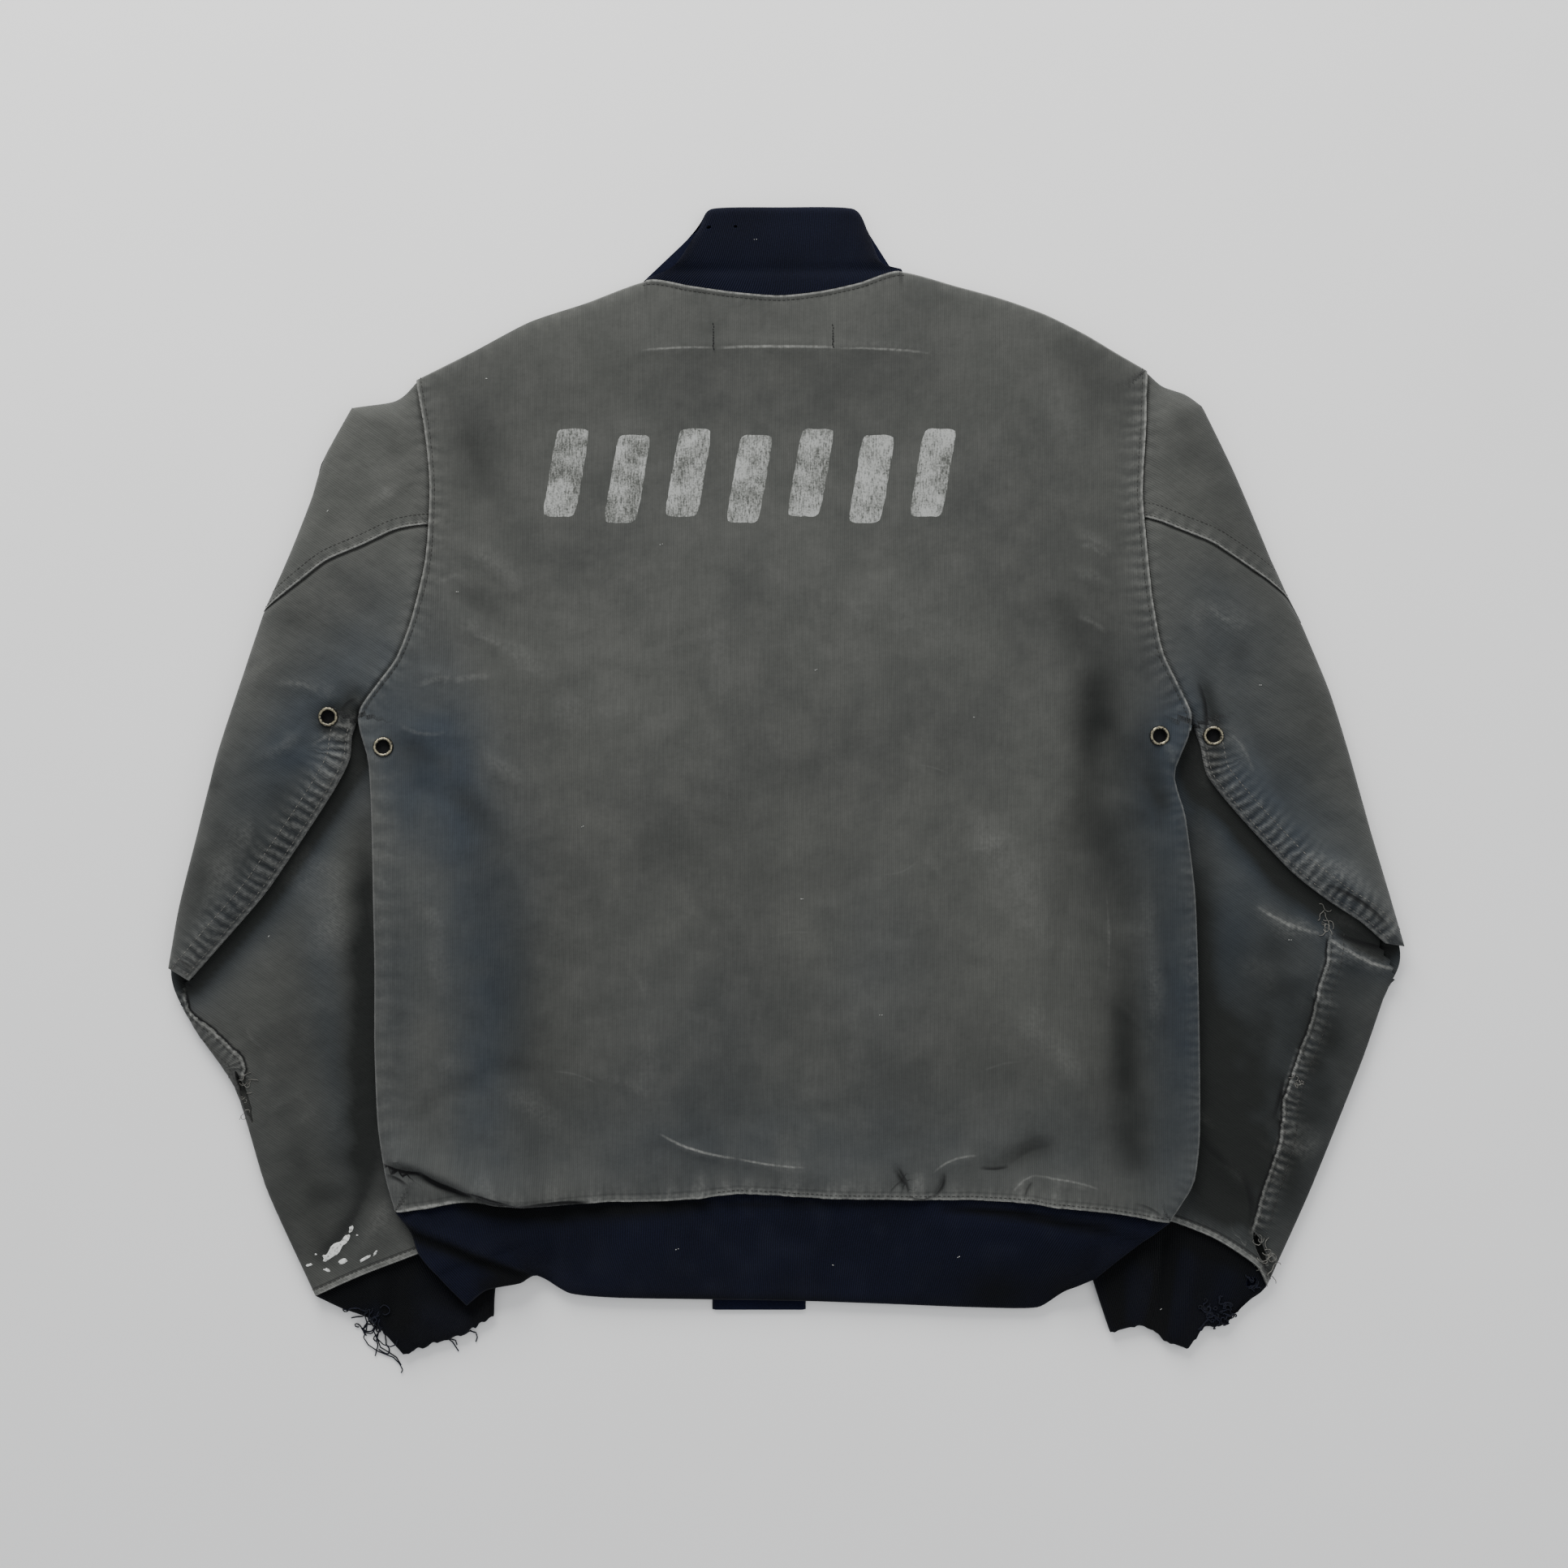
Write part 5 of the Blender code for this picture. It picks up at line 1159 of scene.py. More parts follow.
    # Upper arm: its two stretches above and below the seam, over a hidden under layer.
    across = shares(120)
    cap, seam = along(ARM_CAP[side], across), along(ARM_SEAM[side], across)
    inner = armhole(side, 0, SEAM_ROW)
    cap[-1], seam[-1] = inner[0], inner[-1]
    upper = patch(along(ARM_FOLD_UPPER[side], run_shares(inner)), inner, cap, seam)
    under = along(ARM_UNDER[side], shares(200, CELL, False, True))
    inner = np.vstack([armhole(side, SEAM_ROW, ARMPIT_ROW), under[1:]])
    outer = along(ARM_FOLD_LOWER[side], run_shares(inner))
    lower = patch(outer, inner, seam, outer[-1] + across[:, None] * (inner[-1] - outer[-1]))
    upper += (outward * SEAM, SEAM / 2)
    lower += (outward * SEAM, -SEAM / 2)
    whole = np.concatenate([upper, lower[1:]])
    pit = ARMPIT_ROW - SEAM_ROW
    hole, underarm = armhole(side, 0, ARMPIT_ROW), lower[pit:, -1]
    ring = np.vstack([upper[0, ::-2], whole[1::3, 0], lower[-1, 1:], lower[pit:-1:2, -1][::-1]])
    rest = ground(whole)
    deep = nearest_of(whole, ring, hole[::3]) > UNDER_INSET
    under_cells = deep[:-1, :-1] & deep[1:, :-1] & deep[:-1, 1:] & deep[1:, 1:]
    cloth_piece(f"{side}_sleeve_under", f"sleeve_{side}_under", whole, rest, rest + CLOTH, COTTON,
                cells=under_cells, grain=GRAIN)
    seams[f"{side}_underarm"], seams[f"{side}_arm_seam"] = underarm, seam
    covered = touched(under_cells)
    for part, plan, over_under in (("upper", upper, covered[:len(upper)]),
                                   ("lower", lower, covered[len(upper) - 1:])):
        base = ground(plan)
        low = base + np.where(over_under, CLOTH + SEAM, SEAM)
        round_off = rolled(distance(plan, ring), ARM_ROLL)
        high = base + SEAM + EDGE + (2 * CLOTH - EDGE) * round_off
        d_hole, d_seam = distance(plan, hole[::2]), distance(plan, seam)
        folds = creases(plan, FOLDS)
        detail = folds + creases(plan, ARM_CREASES)
        detail += creases(plan, small_creases(102, 50, (-380, -110), (-240, 210), 1.0), 8)
        detail += creases(plan, small_creases(103, 50, (240, -100), (380, 210), -1.0), 9)
        detail += 0.5 * uneven(plan, 26, 3) + 0.25 * uneven(plan, 9, 4)
        detail += puckers(plan, underarm[6:], 6.8, 1.5, 12, 60 + len(side))
        detail += lip(distance(plan, underarm), 2.2, 0.5)
        detail -= 1.7 * np.exp(-(d_hole / 1.8) ** 2)
        sewn = [Sewn(hole[::2], outward, 9.0, 8, 0.2, 0.15, 0.0)]
        if part == "upper":
            detail += lip(d_seam, 2.0, 0.8) + puckers(plan, seam, 9, 0.35, 5, 64)
            sewn.append(Sewn(seam, -outward, 9.0, 6, 0.3, 0.5, 0.0))
        else:
            detail -= 1.6 * np.exp(-(d_seam / 1.6) ** 2)
            sewn.append(Sewn(underarm[3:], outward, 6.7, 14, 1.0, 0.6, 0.0))
        high = np.maximum(high + detail * np.maximum(round_off, 0.35), low + EDGE)
        panels[f"{side}_sleeve_{part}"] = cloth_piece(
            f"{side}_sleeve_{part}", f"sleeve_{side}_back_{part}", plan, low, high, COTTON,
            marks=cloth_marks(plan, "arm", sewn, detail - folds, 31), grain=GRAIN)

# Body: the back, then the fronts under it.
rest = ground(body)
neck_left, neck_right = (int(np.argmin(np.abs(body[0, :, 0] - edge[-1][0])))
                         for edge in (COLLAR_LEFT, COLLAR_RIGHT))
free = nearest_of(body, body[ARMPIT_ROW::3, 0], body[ARMPIT_ROW::3, -1], body[0, :neck_left + 1],
                  body[0, neck_right:])
left_hole, right_hole = body[:ARMPIT_ROW + 1:2, 0], body[:ARMPIT_ROW + 1:2, -1]
hem_line, neck_line = body[-1, ::2], body[0, neck_left:neck_right + 1]
low = rest + CLOTH + SEAM
high = low + EDGE + (CLOTH - EDGE) * rolled(free, SIDE_ROLL)
d_hole = nearest_of(body, left_hole, right_hole)
folds = creases(body, FOLDS)
detail = folds + creases(body, BACK_CREASES)
detail += creases(body, small_creases(101, 90, (-240, -240), (235, 150), -0.3), 7)
detail += 0.5 * uneven(body, 46, 11) + 0.22 * uneven(body, 15, 12) + 0.3 * uneven(body, 24, 17, (0.6, 2.2))
detail += lip(d_hole, 2.3, 1.0) + lip(distance(body, neck_line), 2.6, 0.7)
for line, pitch, height, reach, seed, part in (
        (right_hole, 7.5, 0.8, 11, 70, 1), (left_hole, 8.5, 0.45, 9, 71, 1),
        (body[ARMPIT_ROW:ARMPIT_ROW + 60:2, -1], 7.0, 0.9, 9, 72, 1),
        (hem_line, 6.5, 0.8, 8, 73, np.clip((body[..., 0] + 120) / 60, 0, 1)),
        (hem_line, 21, 1.5, 15, 74, 1)):
    detail += puckers(body, line, pitch, height, reach, seed) * part
over, above = overhang(body)
high = high + (detail + over) * rolled(np.minimum(free, d_hole + 4), SIDE_ROLL)
sewn = rows(Sewn, (left_hole, 1, 8.5, 9, 0.3, 0.5, 0.0), (right_hole, -1, 7.5, 11, 0.5, 0.55, 0.0),
            (body[0, neck_left:neck_right + 1:2], -1, 6.0, 6, 0.2, 0.8, 0.0),
            (hem_line, 1, 5.4, 7, 0.3, 0.45, 0.0, 0.35),
            (body[0, :neck_left + 1:2], -1, 12.0, 8, 0.15, 0.3, 0.0),
            (body[0, neck_right::2], -1, 12.0, 8, 0.15, 0.5, 0.0),
            (body[ARMPIT_ROW::3, 0], 1, 13.0, 16, 0.25, 0.25, 0.0),
            (body[ARMPIT_ROW::3, -1], -1, 7.0, 8, 0.22, 0.4, 0.0))
marks = cloth_marks(body, "back", sewn, detail - folds, 41)
under_bag = np.clip((-body[..., 0] - 124) / 6, 0, 1) * np.clip((body[..., 0] + 208) / 6, 0, 1)
marks["edge"] = marks["edge"] * (1 - under_bag)
# Painted shadow below the bagging cloth.
marks["shade"] = np.clip(marks["shade"] + 0.5 * above, 0, 1)
back = shell("back_panel", body, low, np.maximum(high, low + EDGE), COTTON, marks=marks)
finish_piece(back, ["back"])
panels["back_panel"] = back
seams.update(left_armhole=left_hole, right_armhole=right_hole, hem=hem_line, neck=neck_line)


def two_fronts(plan, low, high, material, slack, name, ending):
    """The left and right front of a layer, which end on each side of the zip."""
    reach = ZIP_WIDTH / 2 + SEAM
    left_last = int((plan[..., 0].max(0) < ZIP_X - reach - slack).sum())
    right_first = plan.shape[1] - 1 - int((plan[..., 0].min(0) > ZIP_X + reach + slack).sum())
    for side, take, edge_column, edge_x in (("left", slice(0, left_last + 1), left_last, ZIP_X - reach),
                                            ("right", slice(right_first, None), right_first, ZIP_X + reach)):
        half = plan.copy()
        half[:, edge_column, 0] = edge_x
        cloth_piece(f"{name}_{side}_{ending}", f"{name}_{side}", half[:, take], low[:, take], high[:, take],
                    material)


front = body.copy()
row_share = np.clip(1 - (front[:1, :, 1] - front[..., 1]) / 120, 0, 1)
bow = np.clip(1 - (front[:1, :, 0] / NECK_HALF) ** 2, 0, 1)
front[..., 1] -= NECK_DROP * bow * row_share
low = rest + (CLOTH - EDGE) * (1 - rolled(free, SIDE_ROLL))
over_flap = np.abs(body[..., 0] - ZIP_X) < FLAP_WIDTH / 2 + 26
two_fronts(front, np.where(over_flap, np.maximum(low, FLAP + SEAM), low), rest + CLOTH, COTTON, 1.0,
           "front", "panel")

# Waistband, with its ribs raised on the outer face, and where it laps over itself.
hem_run = run_shares(body[-1])
wide = np.linspace(0, 1, RIB_COLUMNS * int(round(length_of(body[-1]) / RIB_PITCH)) + 1)
down = shares(62, KNIT_CELL, False, True)
band = patch(along(BAND_LEFT, down) + GAP_BELOW, along(BAND_RIGHT, down) + GAP_BELOW,
             at_shares(body[-1], wide) + GAP_BELOW,
             along(BAND_EDGE, np.interp(wide, hem_run, body_across)) + GAP_BELOW)
free = nearest_of(band, band[:, 0], band[:, -1], band[-1, ::2 * RIB_COLUMNS])
rest, round_off = ground(band), rolled(free, CUFF_ROLL)
low = rest + RIB_KNIT + 1.0
high = low + EDGE + (RIB_KNIT - EDGE - RIB_HEIGHT * rib_wave(band.shape[1])) * round_off
lap = along(LAP_LINE, np.linspace(0, 1, 50))
d_lap, lap_run = near(band, lap)
lap_share = lap_run / lap_run.max()
lap_strong = np.clip(lap_share / 0.08, 0, 1) * np.clip((1 - lap_share) / 0.15, 0, 1)
above_lap = np.where(cross_side(band, lap) > 0, d_lap, -d_lap)
raised = 3.4 * np.exp(-(above_lap / 16) ** 2) / (1 + np.exp(-(above_lap - 0.6) / 0.5))
raised -= 1.4 * np.exp(-((above_lap + 3.0) / 3.0) ** 2)
high = high + (creases(band, BAND_CREASES) + 0.6 * uneven(band, 38, 15) + 0.3 * uneven(band, 14, 16)
               + raised * lap_strong) * round_off
shade = np.clip(creases(band, BAND_SHADE), 0, 1) + lap_strong * np.exp(-((above_lap + 3.4) / 4.4) ** 2) * 1.1
knits["waistband"] = knit_piece(
    "waistband_back_knit", "waistband_back", band, low, np.maximum(high, low + EDGE),
    {"shade": np.clip(shade, 0, 1), "wear": 0.05 * np.clip(uneven(band, 12, 34), 0, 1)})
band, rest, round_off = band[:, ::RIB_COLUMNS], rest[:, ::RIB_COLUMNS], round_off[:, ::RIB_COLUMNS]
low = rest + (RIB_KNIT - EDGE) * (1 - round_off)
over_flap = np.abs(band[..., 0] - ZIP_X) < FLAP_WIDTH / 2 + 8
low = np.where(over_flap, np.maximum(low, FLAP + SEAM), low)
two_fronts(band, low, np.maximum(rest + RIB_KNIT, low + EDGE), KNIT, 0.5, "waistband_front", "knit")

# Collar: its back half shows, and the two front ends lie under it.
wide = np.linspace(0, 1, RIB_COLUMNS * int(round(COLLAR_WIDTH / RIB_PITCH)) + 1)
down = shares(55, KNIT_CELL, True, False)
neck_x = body[0, [neck_left, neck_right], 0]
foot_x = neck_x[0] + wide * (neck_x[1] - neck_x[0])
foot = np.stack([foot_x, np.interp(foot_x, body[0, :, 0], body[0, :, 1])], 1)
left, right = along(COLLAR_LEFT, down), along(COLLAR_RIGHT, down)
left[-1], right[-1] = foot[0], foot[-1]
collar = patch(left - GAP_BELOW, right - GAP_BELOW, along(COLLAR_TOP, wide) - GAP_BELOW, foot - GAP_BELOW)
round_off = rolled(nearest_of(collar, collar[:, 0], collar[:, -1], collar[0, ::RIB_COLUMNS]), CUFF_ROLL)
crease = np.exp(-((collar[..., 1] - COLLAR_CREASE_Y) / 3.5) ** 2)
low = np.full(collar.shape[:2], RIB_KNIT + 1.0 + SEAM)
furrows = RIB_HEIGHT * rib_wave(collar.shape[1])
high = low + EDGE + (RIB_KNIT + 0.6 - EDGE - furrows - 1.4 * crease) * round_off
high = high + creases(collar, COLLAR_CREASES) * round_off
knits["collar"] = knit_piece("collar_back_knit", "collar", collar, low, np.maximum(high, low + EDGE))
column = int(np.argmin(np.abs(body[0, :, 0] - ZIP_X)))
for side, take, end, way in (("left", slice(neck_left, column + 1), -1, -1),
                             ("right", slice(column, neck_right + 1), 0, 1)):
    foot = front[0, take] + [0.0, SEAM]
    foot[end, 0] = ZIP_X + way * SEAM
    top = along(COLLAR_TOP, (foot[:, 0] - neck_x[0]) / (neck_x[1] - neck_x[0]))
    down = shares(80, KNIT_CELL, True, False)[:, None, None]
    plan = (1 - down) * top[None] + down * foot[None] - GAP_BELOW
    low = (RIB_KNIT - EDGE) * (1 - rolled(distance(plan, plan[0]), CUFF_ROLL))
    cloth_piece(f"collar_front_{side}_knit", f"collar_front_{side}", plan, low,
                np.full(low.shape, RIB_KNIT + 0.8), KNIT)


def offset_line(line, away):
    """A line moved sideways in plan, to the left of the way it runs."""
    line = np.asarray(line, float)
    step = np.gradient(line, axis=0)
    normal = np.stack([-step[:, 1], step[:, 0]], 1) / np.linalg.norm(step, axis=1)[:, None]
    return line + away * normal


def even_line(line, pitch):
    """The same line with points at an even pitch."""
    line = np.asarray(line, float)
    run = run_of(line)
    want = np.linspace(0, run[-1], max(2, int(run[-1] / pitch) + 1))
    return np.stack([np.interp(want, run, line[:, k]) for k in range(line.shape[1])], 1)


def cast_tree(piece):
    """What a look down on a piece is cast against."""
    mesh = piece.data
    return BVHTree.FromPolygons([v.co[:] for v in mesh.vertices], [p.vertices[:] for p in mesh.polygons])


def heights_at(trees, x, y):
    """Heights at which a look straight down meets each of some pieces."""
    hits = [tree.ray_cast((x * MM, y * MM, ABOVE_ALL * MM), (0, 0, -1))[0] for tree in trees]
    return [hit.z / MM for hit in hits if hit is not None]


cloth_trees = {piece.name: cast_tree(piece) for piece in [*panels.values(), *knits.values()]}


def on_cloth(line, over, lift):
    """Heights of a plan line on the topmost of some pieces."""
    trees = [cloth_trees[piece.name] for piece in over]
    found = [(x, y, heights_at(trees, x, y)) for x, y in line]
    return np.array([(x, y, max(heights) + lift) for x, y, heights in found if heights])


def new_tree(name, inputs):
    """An empty Geometry Nodes tree with named inputs, and what adds a node to it."""
    tree = bpy.data.node_groups.new(name, "GeometryNodeTree")
    for label, way, kind in [("Geometry", "INPUT", "Geometry"), ("Geometry", "OUTPUT", "Geometry")] + [
            (label, "INPUT", kind) for label, kind in inputs.items()]:
        tree.interface.new_socket(label, in_out=way, socket_type=f"NodeSocket{kind}")
    add = partial(node, tree)
    return tree, add, add("NodeGroupInput").outputs


def stitch_tree():
    """Stitches laid end to end along edges, each a short rounded grain of thread."""
    tree, add, given = new_tree("stitches", {"Pitch": "Float", "Length": "Float", "Radius": "Float",
                                             "Seed": "Int", "Thread": "Material"})
    curve = add("GeometryNodeMeshToCurve", {"Mesh": given["Geometry"]})
    spaced = add("GeometryNodeResampleCurve", {"Curve": curve, "Length": given["Pitch"]}, mode="LENGTH")
    turn = add("FunctionNodeAlignRotationToVector", {"Vector": add("GeometryNodeInputTangent")}, axis="X")
    grain = add("GeometryNodeMeshUVSphere", {"Segments": 6, "Rings": 4, "Radius": 1.0})
    half = add("ShaderNodeMath", {0: given["Length"], 1: 0.5}, operation="MULTIPLY")
    size = add("ShaderNodeCombineXYZ", {0: half, 1: given["Radius"], 2: given["Radius"]})
    varied = add("FunctionNodeRandomValue", {2: 0.75, 3: 1.15, "Seed": given["Seed"]}, data_type="FLOAT")
    scaled = add("ShaderNodeVectorMath", {0: size, "Scale": varied}, operation="SCALE")
    laid = add("GeometryNodeInstanceOnPoints", {
        "Points": spaced, "Instance": grain.outputs["Mesh"], "Rotation": turn, "Scale": scaled})
    real = add("GeometryNodeRealizeInstances", {"Geometry": laid})
    dressed = add("GeometryNodeSetMaterial", {"Geometry": real, "Material": given["Thread"]})
    add("NodeGroupOutput", {"Geometry": dressed})
    return tree


def yarn_tree():
    """Round yarns along edges."""
    tree, add, given = new_tree("yarns", {"Radius": "Float", "Yarn": "Material"})
    curve = add("GeometryNodeMeshToCurve", {"Mesh": given["Geometry"]})
    ring = add("GeometryNodeCurvePrimitiveCircle", {"Resolution": 6, "Radius": given["Radius"]})
    tube = add("GeometryNodeCurveToMesh", {"Curve": curve, "Profile Curve": ring, "Fill Caps": True})
    dressed = add("GeometryNodeSetMaterial", {"Geometry": tube, "Material": given["Yarn"]})
    add("NodeGroupOutput", {"Geometry": dressed})
    return tree


STITCHES, YARNS = stitch_tree(), yarn_tree()


def grown(name, lines, tree, slot, **values):
    """Runs a tree along lines and keeps the result as a plain mesh."""
    points, edges = [], []
    for line in lines:
        edges += [(k, k + 1) for k in range(len(points), len(points) + len(line) - 1)]
        points += [tuple(p) for p in line]
    piece = new_object(name, plain_mesh(name, points, edges, []))
    step = piece.modifiers.new("grow", "NODES")
    step.node_group = tree
    for item in tree.interface.items_tree:
        if item.in_out == "INPUT" and item.name in values:
            step[item.identifier] = values[item.name]
    bpy.context.view_layer.update()
    make_plain(piece)
    return finish_piece(piece, [])


SEAM_STEP, THREAD_LIFT = 1.6, 0.05


def sew(name, lines, over, thread, pitch=3.0, length=2.3, radius=0.27, seed=1):
    """Rows of stitches in plan, laid on the cloth below them."""
    laid = [on_cloth(even_line(line, SEAM_STEP), over, THREAD_LIFT) for line in lines]
    return grown(name, [line for line in laid if len(line) > 1], STITCHES, "cloth", Pitch=pitch * MM,
                 Length=length * MM, Radius=radius * MM, Seed=seed, Thread=thread)


back = panels["back_panel"]
for side, inward in (("left", 1), ("right", -1)):
    for line, first, panel, rows_away, thread, seed in (
            ("armhole", 0, "back_panel", [2.9], DARK_THREAD, 3),
            ("arm_seam", 0, f"{side}_sleeve_upper", [1.7, ARM_BAND[side]], DARK_THREAD, 5),
            ("underarm", 4, f"{side}_sleeve_lower", [-2.6, -12.5], THREAD, 7),
            ("forearm", 0, f"{side}_forearm_front", [-2.2, -9.4], DARK_THREAD, 9),
            ("sleeve_hem", 0, f"{side}_forearm_front", [4.0], DARK_THREAD, 11)):
        sewn = seams[f"{side}_{line}"][first:]
        sew(f"{side}_{line}_stitches", [offset_line(sewn, inward * away) for away in rows_away],
            [panels[panel]], thread, seed=seed)
sew("hem_stitches", [offset_line(seams["hem"][40:], 2.4)], [back], DARK_THREAD, seed=13)
sew("neck_stitches", [offset_line(seams["neck"], -2.9)], [back], DARK_THREAD, seed=15)
for name, x, top, foot in (("left", -46.3, 291, 275), ("right", 30, 290, 276)):
    zigzag = [(x + 0.5 * (k % 2), top + (foot - top) * k / 9) for k in range(10)]
    sew(f"hanger_stitches_{name}", [zigzag], [back], BLACK_THREAD, pitch=1.7, length=1.9, radius=0.42)

# Painted blocks: thin skins whose feet are sunk in a little, and which follow every fold.
PAINT_THICK, PAINT_RIM, PAINT_SUNK = 0.12, 0.03, 0.3
for k, middle in enumerate(BLOCK_MIDDLES):
    tall = np.linspace(-0.5, 0.5, 30)[:, None]
    wide = np.linspace(-0.5, 0.5, 12)[None, :]
    pinch = 1 - 0.10 * (np.abs(2 * tall) ** 8) * (np.abs(2 * wide) > 0.6)
    x = middle + BLOCK_WIDE * wide * pinch + BLOCK_LEAN * tall
    y = BLOCK_Y + (-1) ** k * 2.0 + BLOCK_HIGH * tall * (1 - 0.05 * np.abs(2 * wide) ** 6)
    plan = np.stack([x + 0 * y, y + 0 * x], 2)
    plan = plan + np.stack([0.35 * uneven(plan, 3, 61), 0.35 * uneven(plan, 3, 62)], 2)
    heights = np.array([on_cloth(row, [back], 0.0)[:, 2] for row in plan])
    thick = np.full(heights.shape, PAINT_RIM)
    thick[1:-1, 1:-1] = PAINT_THICK
    block = shell(f"painted_block_{k + 1}", plan, heights - PAINT_SUNK, heights + thick, PAINT)
    finish_piece(block, [])


def blot(name, spots, over, material, thick, seed, turns=18):
    """Small irregular blots, each a low dome, as one mesh."""
    rng = np.random.default_rng(seed)
    points, faces = [], []
    for spot in spots:
        around = np.tile(rng.uniform(-1, 1, turns), 3)
        edge = 1 + 0.28 * np.convolve(around, [0.5, 1, 0.5], "same")[turns:2 * turns]
        start = len(points)
        for share, rise in ((1.0, -0.15), (0.97, 0.5 * thick), (0.7, thick), (0.3, 1.1 * thick)):
            points += [(x, y, z + rise) for x, y, z in on_cloth(oval(spot, edge * share), over, 0.0)]
        for k in range(3 * turns):
            a, b = start + k, start + k - k % turns + (k + 1) % turns
            faces.append([a, b, b + turns, a + turns])
        faces += [list(range(start + 3 * turns, start + 4 * turns)), list(range(start, start + turns))[::-1]]
    return finish_piece(mesh_piece(name, points, faces, material), [])


blot("white_paint_splashes", SPLASHES, [panels["left_forearm_front"]], SPLASH, 0.25, 66)
specks = [np.array([(x, y), (x + 0.5 + 0.5 * (k % 3), y + 0.5 * (k % 2))]) for k, (x, y) in enumerate(LINT)]
every = [*panels.values(), *knits.values()]
grown("lint_specks", [on_cloth(speck, every, 0.1) for speck in specks], STITCHES, "cloth",
      Pitch=1.0 * MM, Length=0.9 * MM, Radius=0.3 * MM, Seed=4, Thread=LINT_FIBRE)


YARN_STEP, YARN_STIFFNESS = 1.2, 0.75


def loose_yarns(rng, count, x, y, heading, length, curl):
    """Yarns that start within a box, and wander as far as their length goes."""
    yarns = []
    for _ in range(count):
        points = [np.array([rng.uniform(*x), rng.uniform(*y)])]
        at, turn = math.radians(rng.uniform(*heading)), 0.0
        for _ in range(int(rng.uniform(*length) / YARN_STEP)):
            turn = YARN_STIFFNESS * turn + rng.normal(0, curl)
            at += turn
            points.append(points[-1] + YARN_STEP * np.array([math.cos(at), math.sin(at)]))
        yarns.append(np.array(points))
    return yarns


def laid_yarns(name, yarns, piece, radius, yarn, slot, hang=0.4):
    """Yarns laid over a piece, and on the floor beyond it."""
    lines = []
    for k, plan in enumerate(yarns):
        tree = [cloth_trees[piece.name]]
        heights = np.array([max(heights_at(tree, x, y) + [hang]) + radius for x, y in plan])
        for _ in range(3):
            heights[1:-1] = np.maximum(heights[1:-1], 0.5 * (heights[:-2] + heights[2:]))
        lines.append(np.column_stack([plan, heights + 0.12 * (k % 3)]))
    return grown(name, lines, YARNS, slot, Radius=radius * MM, Yarn=yarn)


rng = np.random.default_rng(77)
fringe = loose_yarns(rng, 13, (-267, -257), (-352, -338), (210, 320), (14, 30), 0.32)
laid_yarns("left_cuff_yarns", fringe + [np.array(row, float) for row in FRAYED_YARNS], knits["left_cuff"],
           0.42, NAVY_YARN, "knit")
fringe = loose_yarns(rng, 26, (268, 288), (-346, -334), (0, 360), (8, 16), 0.7)
fringe += loose_yarns(rng, 8, (294, 302), (-325, -317), (0, 360), (5, 9), 0.8)
laid_yarns("right_cuff_yarns", fringe, knits["right_cuff"], 0.45, NAVY_YARN, "knit")
torn = loose_yarns(rng, 12, (298, 312), (-318, -290), (0, 360), (7, 16), 0.3)
torn += loose_yarns(rng, 9, (341, 349), (-96, -80), (230, 310), (5, 12), 0.5)
torn += loose_yarns(rng, 6, (322, 328), (-195, -187), (200, 340), (4, 8), 0.6)
laid_yarns("torn_threads_right", torn, panels["right_forearm_front"], 0.26, THREAD, "cloth", 5.5)
torn = loose_yarns(rng, 12, (-350, -342), (-218, -188), (-60, 60), (4, 9), 0.5)
laid_yarns("torn_threads_left", torn, panels["left_forearm_front"], 0.2, THREAD, "cloth", 5.5)

# Rips and worn holes, cut once everything has been laid on the whole cloth.
for name, rips in RIPS.items():
    cut_holes(bpy.data.objects[name], rips)

# Front closing, under the fronts.
flap_x = ZIP_X + np.linspace(-0.5, 0.5, 31) * FLAP_WIDTH
for name, stands_for, top_y, foot_y, material in (
        ("wind_flap_cloth", "wind_flap", 258.0, -262.0, COTTON),
        ("wind_flap_knit", "wind_flap_rib", -262.6, -340.0, KNIT)):
    plan = np.stack(np.meshgrid(flap_x, np.linspace(top_y, foot_y, int((top_y - foot_y) / 4))), 2)
    high = EDGE + (FLAP - EDGE) * rolled(nearest_of(plan, plan[:, 0], plan[:, -1]), 2.5)
    cloth_piece(name, stands_for, plan, np.zeros(high.shape), high, material)


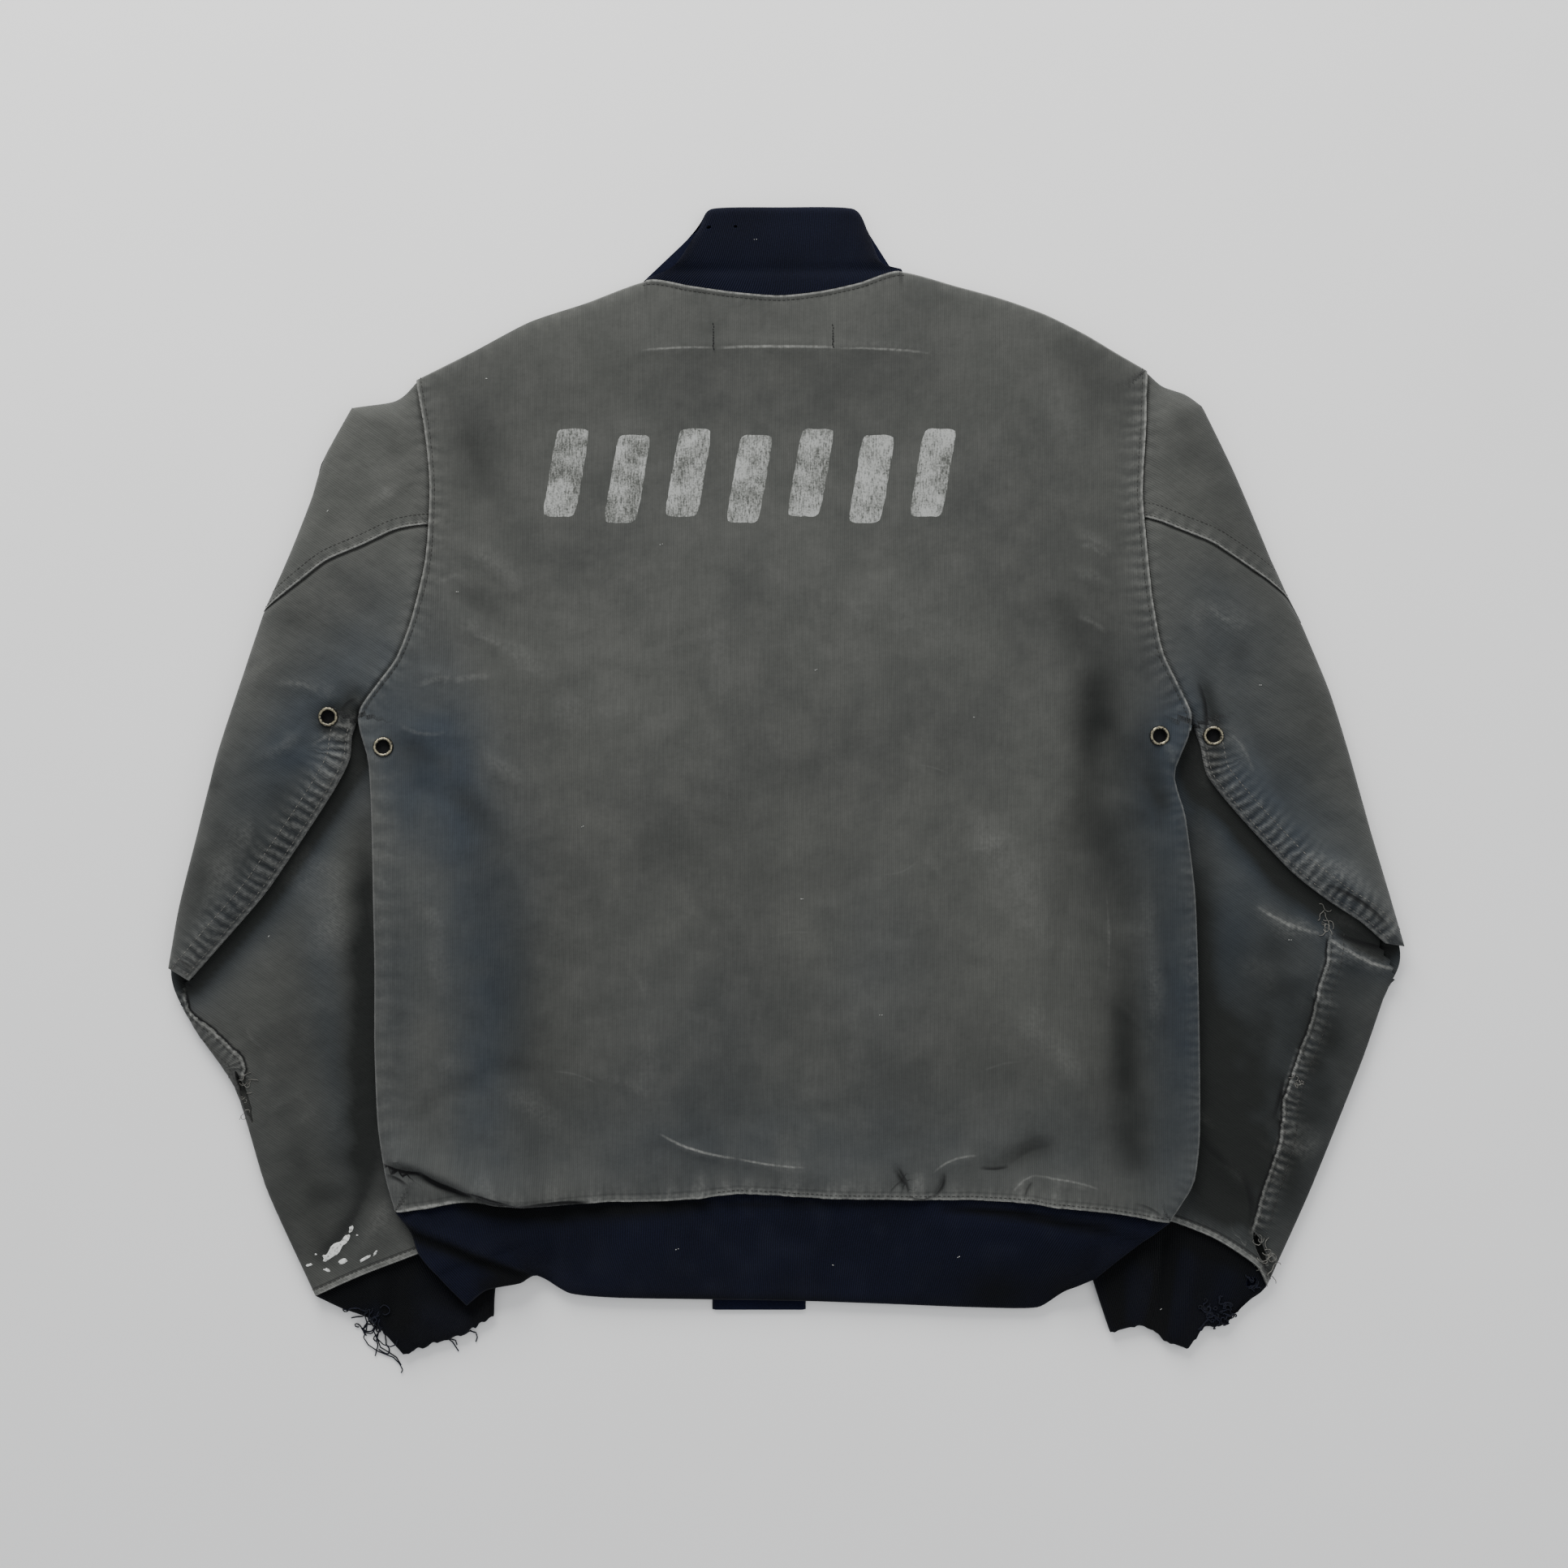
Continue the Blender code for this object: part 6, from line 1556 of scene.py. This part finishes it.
def vent_eyelet(row, panel, turns=40):
    """A rolled ring seated on the cloth by the slope measured under it."""
    around = np.linspace(0, 2 * np.pi, turns, endpoint=False)
    circle = np.stack([np.cos(around), np.sin(around)], 1)
    seat, rim = cast_tree(panel), EYELET_RADIUS * circle
    hits = np.array([heights_at([seat], row.x + x, row.y + y)[0] for x, y in rim])
    plane, *_ = np.linalg.lstsq(np.column_stack([np.ones(turns), rim]), hits, rcond=None)

    def seated(r, z, at):
        x, y = r * at[0], r * at[1]
        return row.x + x, row.y + y, plane[0] + z + plane[1] * x + plane[2] * y

    middle, half = 0.5 * (EYELET_HOLE + EYELET_RADIUS), 0.5 * (EYELET_RADIUS - EYELET_HOLE)
    ring = [(middle + half * math.cos(t), 0.1 + EYELET_HEIGHT * max(0.0, math.sin(t)), max(0.0, math.sin(t)))
            for t in np.linspace(0, math.pi, 9)]
    ring += [(EYELET_HOLE + 0.1, -3.0, 0.0), (EYELET_HOLE + 0.5, -3.0, 0.0), (EYELET_HOLE + 0.5, 0.0, 0.0)]
    points = [seated(r, z, at) for at in circle for r, z, crown in ring]
    n, faces = len(ring), []
    for i in range(turns):
        for k in range(n):
            after, beyond = (k + 1) % n, ((i + 1) % turns) * n
            faces.append((i * n + k, beyond + k, beyond + after, i * n + after))
    wear = [crown for r, z, crown in ring] * turns
    piece = mesh_piece(f"{row.name}_ring", points, faces, BRASS, {"wear": wear})
    finish_piece(piece, [row.name])
    cut_holes(panel, [Rip(row.x, row.y, 2 * EYELET_HOLE + 0.7, 2 * EYELET_HOLE + 0.7, 0)])
    # A near-black disc down in the hole is painted shadow.
    foot = [seated(EYELET_HOLE + 0.3, z, at) for z in (-3.2, -2.6) for at in circle]
    finish_piece(mesh_piece(f"{row.name}_pit", foot, prism(0, turns), EYELET_SHADOW), [], 30)


for row in EYELETS:
    vent_eyelet(row, panels[row.panel])

# Zip: closed teeth on their tape, hidden on the underside.
tape_x = ZIP_X + np.array([-0.5, -0.22, -0.2, 0.2, 0.22, 0.5]) * ZIP_WIDTH
plan = np.stack(np.meshgrid(tape_x, np.linspace(262.0, -325.0, 120)), 2)
high = np.full(plan.shape[:2], FLAP + SEAM + 0.8)
high[:, 2:4] = FLAP + SEAM + 1.5
finish_piece(shell("zip_chain", plan, np.full(high.shape, FLAP + SEAM), high, TEETH), ["zip"], 30)

# Plain floor, 0.2 mm below the jacket.
floor_reach, floor_z = 3000.0, -0.2
corners = [(x * floor_reach, y * floor_reach, floor_z) for x, y in ((-1, -1), (1, -1), (1, 1), (-1, 1))]
floor = new_object("floor", plain_mesh("floor", corners, [], [(0, 1, 2, 3)]))
floor.data.materials.append(BOARD)


def softbox(name, place, size, power):
    """A soft area light aimed at the middle of the jacket."""
    light = bpy.data.lights.new(name, "AREA")
    light.shape, light.size, light.energy = "SQUARE", size, power
    lamp = new_object(name, light)
    lamp.location = place
    lamp.rotation_euler = (-Vector(place)).to_track_quat("-Z", "Y").to_euler()


softbox("window", (-0.5, 1.9, 1.15), 1.3, 62)
softbox("room", (1.2, 0.4, 2.2), 2.4, 16)
world = bpy.data.worlds.new("soft_room")
world.use_nodes = True
background = world.node_tree.nodes["Background"].inputs
background["Color"].default_value, background["Strength"].default_value = linear("#e6e9ee"), 0.72
bpy.context.scene.world = world

# The camera looks straight down, and its view is 995 mm wide at the cloth's height.
VIEW_WIDTH, CLOTH_HEIGHT, CAMERA_HEIGHT = 0.995, 0.017, 1.3
lens = bpy.data.cameras.new("camera")
lens.sensor_width = 36.0
lens.lens = lens.sensor_width * (CAMERA_HEIGHT - CLOTH_HEIGHT) / VIEW_WIDTH
camera = new_object("camera", lens)
camera.location = (-0.001, -0.0026, CAMERA_HEIGHT)
bpy.context.scene.camera = camera
